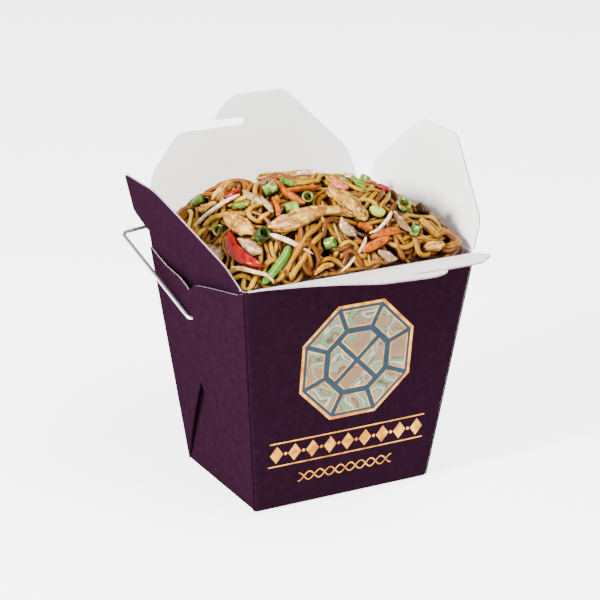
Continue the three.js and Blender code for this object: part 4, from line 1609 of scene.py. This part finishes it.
def cut_section(seed, power=7.0, wave=0.05):
    """A julienne stick: flat sides, crisp edges and cut ends."""
    uneven = ripple(seed, 3, 2)

    def section(along, angle):
        x, y = box_section(angle + 0.2, power)
        size = (1 + wave * uneven(along, angle / (2 * math.pi)))
        size = size * np.where((along < 0.01) | (along > 0.99), 0.9, 1)
        return x * size * 0.95, y * size * 0.95
    return section


def petal_section(seed, arch, thin):
    """A slice of onion layer or leaf: a thin arched sheet, its sides drawn in at both ends."""
    uneven = ripple(seed, 3, 1)
    frill = ripple(seed + 3, 5, 2)

    def section(along, angle):
        x, y = box_section(angle, 2.4)
        ends = rounded_ends(along, 5.0, 0.35)
        wide = x * ends * (1 + 0.08 * uneven(along, 0 * along))
        bow = arch * (1 - wide ** 2) - arch * 0.55 + 0.12 * frill(along, x / 4)
        return wide, bow + y * thin
    return section


def pepper_section(seed):
    """A curled strip of pepper: a full glossy skin above, hollowed flesh beneath."""
    uneven = ripple(seed, 3, 1)

    def section(along, angle):
        x, y = box_section(angle, 3.0)
        size = (1 + 0.06 * uneven(along, angle / (2 * math.pi))) * rounded_ends(along, 8, 0.3)
        hollow = np.where(y < 0, -0.45 * y * (1 - x ** 2) * 1.2, 0)
        return x * size, (y + hollow) * size * 0.95
    return section


FIRST_SEED = 40
SEED_STEP = 7
RING_SEED = 300


def topping_section(node, index):
    seed = FIRST_SEED + index * SEED_STEP
    if node.startswith("chicken"):
        return meat_section(seed, 0.8)
    if node.startswith("pepper"):
        return pepper_section(seed)
    if node.startswith("carrot"):
        return cut_section(seed)
    if node.startswith("onion_pink"):
        return petal_section(seed, 0.5, 0.5)
    if node.startswith("onion"):
        return petal_section(seed, 1.1, 0.25)
    if node.startswith("leaf"):
        return petal_section(seed, 0.9, 0.35)
    if node.startswith("sprout"):
        return round_section(seed, 0.06, 0.35, 0.75)
    if node.startswith("egg"):
        return cut_section(seed, 4.0, 0.1)
    return round_section(seed)


def painted_crevice_shade(tree, colour, crevice_shade, reach, low, high):
    """Painted shade between pieces: the colour darkens to a dark, sauce-brown tone where little sky
    is seen.
    """
    sky = add(tree, "AmbientOcclusion", {"Distance": reach * MM}, samples=4).outputs["AO"]
    return between(tree, sky, low, high, srgb(crevice_shade), colour)


def food_material(name, colours, patch, rough, wet, through, crevice_shade="#1E0A02", fibre=None,
                  grain=0.05, clear=0.0):
    """Cooked food: blotched between three colours, moist, a little see-through, with painted shade
    in its folds.

    The patch size and grain depth are in millimetres. A fibre is its spacing and its length.
    """
    material, tree, surface = new_material(
        name, Roughness=rough, Specular_IOR_Level=0.12, Coat_Weight=wet, Coat_Roughness=0.12,
        Subsurface_Weight=through, Subsurface_Radius=(1.0, 0.5, 0.25),
        Subsurface_Scale=1.2 * MM, Transmission_Weight=clear)
    place = add(tree, "TexCoord").outputs["Object"]
    deep, body, light = (srgb(colour) for colour in colours)
    blotch = add(tree, "TexNoise", {
        "Vector": place, "Scale": 1 / (patch * MM), "Detail": 3.0, "Roughness": 0.6})
    colour = between(tree, blotch.outputs["Fac"], 0.36, 0.6, deep, body)
    fleck = add(tree, "TexNoise", {"Vector": place, "Scale": 1 / (0.35 * patch * MM)})
    colour = between(tree, fleck.outputs["Fac"], 0.5, 0.72, colour, light)
    relief = {}
    if fibre:
        spacing, length = fibre
        strip = add(tree, "UVMap", uv_map=STRIP_MAP).outputs["UV"]
        scale = (STRIP_SPAN / length, STRIP_SPAN / spacing, 1.0)
        drawn = add(tree, "Mapping", {"Vector": strip, "Scale": scale}).outputs["Vector"]
        threads = add(tree, "TexNoise", {
            "Vector": drawn, "Scale": 1.0, "Detail": 3.0, "Roughness": 0.6,
            "Distortion": 0.4}).outputs["Fac"]
        colour = between(tree, threads, 0.33, 0.5, deep, colour)
        relief["Normal"] = add(tree, "Bump", {
            "Height": threads, "Distance": 0.9 * MM}).outputs["Normal"]
    pores = add(tree, "TexNoise", {"Vector": place, "Scale": 1 / (0.8 * MM)}).outputs["Fac"]
    skin = add(tree, "Bump", {"Height": pores, "Distance": grain * MM, **relief})
    # Painted shade: darker in the folds, where ambient occlusion finds little sky.
    crevice_shaded = painted_crevice_shade(tree, colour, crevice_shade, 3.0, 0.2, 0.75)
    plug(tree, surface, Base_Color=crevice_shaded, Normal=skin.outputs["Normal"])
    return material


# Where a look gives a further dark colour by keyword, that is the painted shade its folds darken to.
FOOD_LOOKS = {
    # Chicken breast, sliced and braised: pale fibres, tan where it was seared, moist.
    "chicken": food_material(
        "braised_chicken_breast", ("#744010", "#C49036", "#ECBE66"), 6.0, 0.5, 0.25, 0.15,
        crevice_shade="#3A1A06", fibre=(1.3, 11.0)),
    # Red pepper, stir-fried: taut waxy skin that mirrors the lights.
    "red_pepper": food_material(
        "stir_fried_red_pepper", ("#600000", "#920200", "#AC0800"), 4.0, 0.4, 0.55, 0.0,
        grain=0.02),
    # Spring onion: moist green leaf bases, paler in streaks.
    "spring_onion": food_material(
        "spring_onion_green", ("#26480A", "#567C1C", "#B0BE6E"), 6.0, 0.4, 0.5, 0.2,
        crevice_shade="#0A1602", grain=0.02),
    # A spring onion ring in a darker, denser green than the others.
    "ring_dark": food_material(
        "spring_onion_leaf_end", ("#0C1E04", "#1C3608", "#3E6018"), 5.0, 0.4, 0.5, 0.1,
        crevice_shade="#060E02", grain=0.02),
    # Green bean, stir-fried whole: smooth, even green, faintly waxy.
    "bean": food_material(
        "stir_fried_green_bean", ("#35620C", "#4A7A14", "#64922A"), 7.0, 0.4, 0.4, 0.15,
        crevice_shade="#0A1602", grain=0.02),
    # Wilted greens: thin and dull green.
    "leaf_green": food_material(
        "wilted_green_leaf", ("#26420C", "#4E6E18", "#8E9E40"), 2.5, 0.5, 0.3, 0.15,
        crevice_shade="#0C1804"),
    # White of leek: pale green, watery.
    "pale_stem": food_material(
        "stewed_leek_white", ("#788C20", "#A0B034", "#C8CE74"), 3.0, 0.4, 0.4, 0.25,
        crevice_shade="#2E360A"),
    # Carrot cut in sticks: deep orange, moist cut faces.
    "carrot": food_material(
        "julienned_carrot", ("#7A2C00", "#A64C00", "#C86E00"), 3.0, 0.4, 0.25, 0.05,
        crevice_shade="#3A1000"),
    # Mung bean sprout: watery white, see-through.
    "bean_sprout": food_material(
        "mung_bean_sprout", ("#C09660", "#E8C89C", "#FFECD0"), 5.0, 0.4, 0.5, 0.3,
        crevice_shade="#5A300E", grain=0.02),
    # Onion cooked until soft: glassy, with painted shade faintly brown in its folds.
    "onion": food_material(
        "softened_onion", ("#946436", "#C89C6C", "#F2D4AE"), 5.0, 0.35, 0.6, 0.3,
        crevice_shade="#4A2A14", grain=0.02, clear=0.4),
    # Red onion cooked until soft: glassy pink.
    "red_onion": food_material(
        "softened_red_onion", ("#A03A28", "#C25A46", "#DC8C74"), 3.0, 0.35, 0.5, 0.2,
        crevice_shade="#4A1206", grain=0.02),
    # Mushroom fried brown.
    "mushroom": food_material(
        "fried_mushroom", ("#241408", "#402810", "#6A481E"), 3.0, 0.5, 0.2, 0.05),
    # Yellow pepper, stir-fried: waxy golden skin.
    "egg": food_material(
        "stir_fried_yellow_pepper", ("#885000", "#B27000", "#D29204"), 3.0, 0.4, 0.5, 0.1,
        crevice_shade="#4A2400", grain=0.03),
}


def noodle_material():
    # Wheat noodles, boiled, then fried in soy sauce and oil: golden, each strand its own tone,
    # browner towards the right, slick with oil, and darkened by painted shade where they cross.
    material, tree, surface = new_material(
        "soy_fried_wheat_noodle", Roughness=0.5, Specular_IOR_Level=0.1, Coat_Weight=0.3,
        Coat_Roughness=0.14, Subsurface_Weight=0.1, Subsurface_Radius=(1.0, 0.5, 0.2),
        Subsurface_Scale=1.0 * MM)
    place = add(tree, "TexCoord").outputs["Object"]
    tone = add(tree, "Attribute", attribute_name="tone").outputs["Fac"]
    shades = add(tree, "ValToRGB", {"Fac": tone}, stops=(
        (0.0, "#562804"), (0.2, "#7A4606"), (0.5, "#A46C04"), (0.8, "#C08E06"),
        (1.0, "#D6AC2C")))
    across = add(tree, "SeparateXYZ", {"Vector": place}).outputs["X"]
    colour = between(
        tree, across, -10 * MM, 50 * MM, shades.outputs["Color"], srgb("#582A06"), 0.5)
    stain = add(tree, "TexNoise", {
        "Vector": place, "Scale": 1 / (4 * MM), "Detail": 3.0, "Roughness": 0.6}).outputs["Fac"]
    colour = between(tree, stain, 0.46, 0.66, colour, srgb("#5E2E02"), 0.5)
    crevice_shaded = painted_crevice_shade(tree, colour, "#2E0A02", 4.0, 0.2, 0.85)
    dents = add(tree, "TexNoise", {"Vector": place, "Scale": 1 / (0.9 * MM)}).outputs["Fac"]
    skin = add(tree, "Bump", {"Height": dents, "Distance": 0.04 * MM})
    plug(tree, surface, Base_Color=crevice_shaded, Normal=skin.outputs["Normal"])
    return material


NOODLE = noodle_material()
# Painted shade for the depth of the heap: nearly black and shiny, in a soy-sauce tone.
HEAP_DEPTH_SHADE = food_material("heap_depth_painted_shade", ("#240802", "#3A1204", "#4E2008"), 3.0, 0.3, 0.2, 0.0)


RING_WALL = 0.35
RING_OVAL = 0.05


def cut_ring(name, place, seed):
    """A slice of spring onion: a short tube, a little out of round, with its own wall."""
    centre, axis, radius, length = place
    deselect()
    bpy.ops.mesh.primitive_cylinder_add(
        vertices=28, radius=radius, depth=length, end_fill_type="NOTHING")
    ring = bpy.context.object
    ring.name = name
    cut_grid(ring, length / 6, (2,))
    points = points_of(ring)
    across = np.cross(axis, (0.3, 0.9, 0.1))
    across /= np.linalg.norm(across)
    beyond = np.cross(axis, across)
    angle = np.arctan2(points[:, 1], points[:, 0])
    oval = ripple(seed, 1, 2)(points[:, 2] / length, angle / (2 * math.pi))
    size = 1 + RING_OVAL * oval
    placed = (centre + across * (points[:, 0] * size)[:, None]
              + beyond * (points[:, 1] * size)[:, None] + axis * points[:, 2:3])
    move_points(ring, placed * MM)
    thicken(ring, RING_WALL * radius)
    refine(ring)
    smooth(ring, 60)
    return ring


def build_toppings():
    index = 0
    for slot, nodes in STRIPS.items():
        fine = {"cuts": 46, "around": 40, "fray": 0.09} if slot == "chicken" else {}
        for node in nodes:
            strip = loft(node + "_piece", stations[node], topping_section(node, index), **fine)
            coat(strip, FOOD_LOOKS.get(node, FOOD_LOOKS[slot]))
            dress(strip, replaces=(node,))
            index += 1
    for node, place in ring_places.items():
        ring = cut_ring(node + "_piece", place, index + RING_SEED)
        coat(ring, FOOD_LOOKS.get(node, FOOD_LOOKS["spring_onion"]))
        dress(ring, replaces=(node,))
        index += 1


def heap_core():
    """The depth of the heap, near black as painted shade, seen only through the gaps: a lumpy mound
    in the carton.
    """
    deselect()
    bpy.ops.mesh.primitive_grid_add(x_subdivisions=72, y_subdivisions=60, size=2.0)
    core = bpy.context.object
    core.name = "heap_core"
    points = points_of(core)
    lumps = ripple(5, 9, 9, 24)
    x = points[:, 0] * (INNER[0] - CORE_EDGE)
    y = points[:, 1] * (INNER[1] - CORE_EDGE)
    lumpy = CORE_LUMPS * lumps(points[:, 0], points[:, 1])
    drop = heap_depth(x, y) + heap_sag(x, y) - CORE_RISE + lumpy
    placed = on_heap(x, y) - heap_normal(x, y) * drop[:, None]
    for axis in (0, 1):
        limit = INNER[axis] - CORE_GAP
        placed[:, axis] = np.clip(placed[:, axis], -limit, limit)
    move_points(core, placed * MM)
    edit(core)
    bpy.ops.mesh.select_all(action="SELECT")
    bpy.ops.mesh.extrude_region_move(TRANSFORM_OT_translate={"value": (0, 0, 0)})
    leave()
    low = np.array([vertex.select for vertex in core.data.vertices])
    points = points_of(core)
    points[low, 0] *= (half_width(CORE_FLOOR) - BOARD - CORE_PLAY) / INNER[0]
    points[low, 1] *= (half_depth(CORE_FLOOR) - BOARD - CORE_PLAY) / INNER[1]
    points[low, 2] = CORE_FLOOR * MM
    move_points(core, points)
    face_outwards(core)
    smooth(core, 60)
    return core


def build_food():
    build_toppings()
    core = heap_core()
    coat(core, HEAP_DEPTH_SHADE)
    dress(core, replaces=("noodles",))
    strands = noodle_pile()
    half = len(strands) // 2
    for name, share in (("noodles_lower", strands[:half]), ("noodles_upper", strands[half:])):
        piece = strand_piece(name, share, rng.uniform(0, 1, len(share)).tolist())
        coat(piece, NOODLE)
        dress(piece)


build_food()

# ------------------------------------------------------------------ floor and light


FLOOR_SIZE = 6.0
FLOOR_GLOW = 3.2
WORLD_GLOW = 0.3
# Name, place and size in metres, and power in watts.
LIGHTS = (
    ("key", (-1.15, -0.2, 0.6), 0.35, 62),
    ("top", (0.2, -0.55, 1.3), 0.6, 34),
)


def build_stage():
    deselect()
    bpy.ops.mesh.primitive_plane_add(size=FLOOR_SIZE)
    floor = bpy.context.object
    floor.name = "floor"
    material = new_material(
        "backlit_studio_acrylic", Base_Color=srgb("#FFFFFF"), Roughness=0.6,
        Emission_Color=srgb("#FFFFFF"), Emission_Strength=FLOOR_GLOW)[0]
    coat(floor, material)


FOOD_AT = (0, 0, 0.08)


def add_light(name, at, size, power):
    """A white, square softbox that faces the food."""
    bpy.ops.object.light_add(type="AREA", location=at)
    light = bpy.context.object
    light.name = name
    light.data.size = size
    light.data.energy = power
    aim = Vector(FOOD_AT) - Vector(at)
    light.rotation_euler = aim.to_track_quat("-Z", "Y").to_euler()


def build_light():
    world = bpy.data.worlds.new("studio")
    world.use_nodes = True
    back = world.node_tree.nodes["Background"]
    back.inputs["Color"].default_value = srgb("#FFFFFF")
    back.inputs["Strength"].default_value = WORLD_GLOW
    bpy.context.scene.world = world
    for light in LIGHTS:
        add_light(*light)


build_stage()
build_light()

# ------------------------------------------------------------------ final update

bpy.context.view_layer.update()
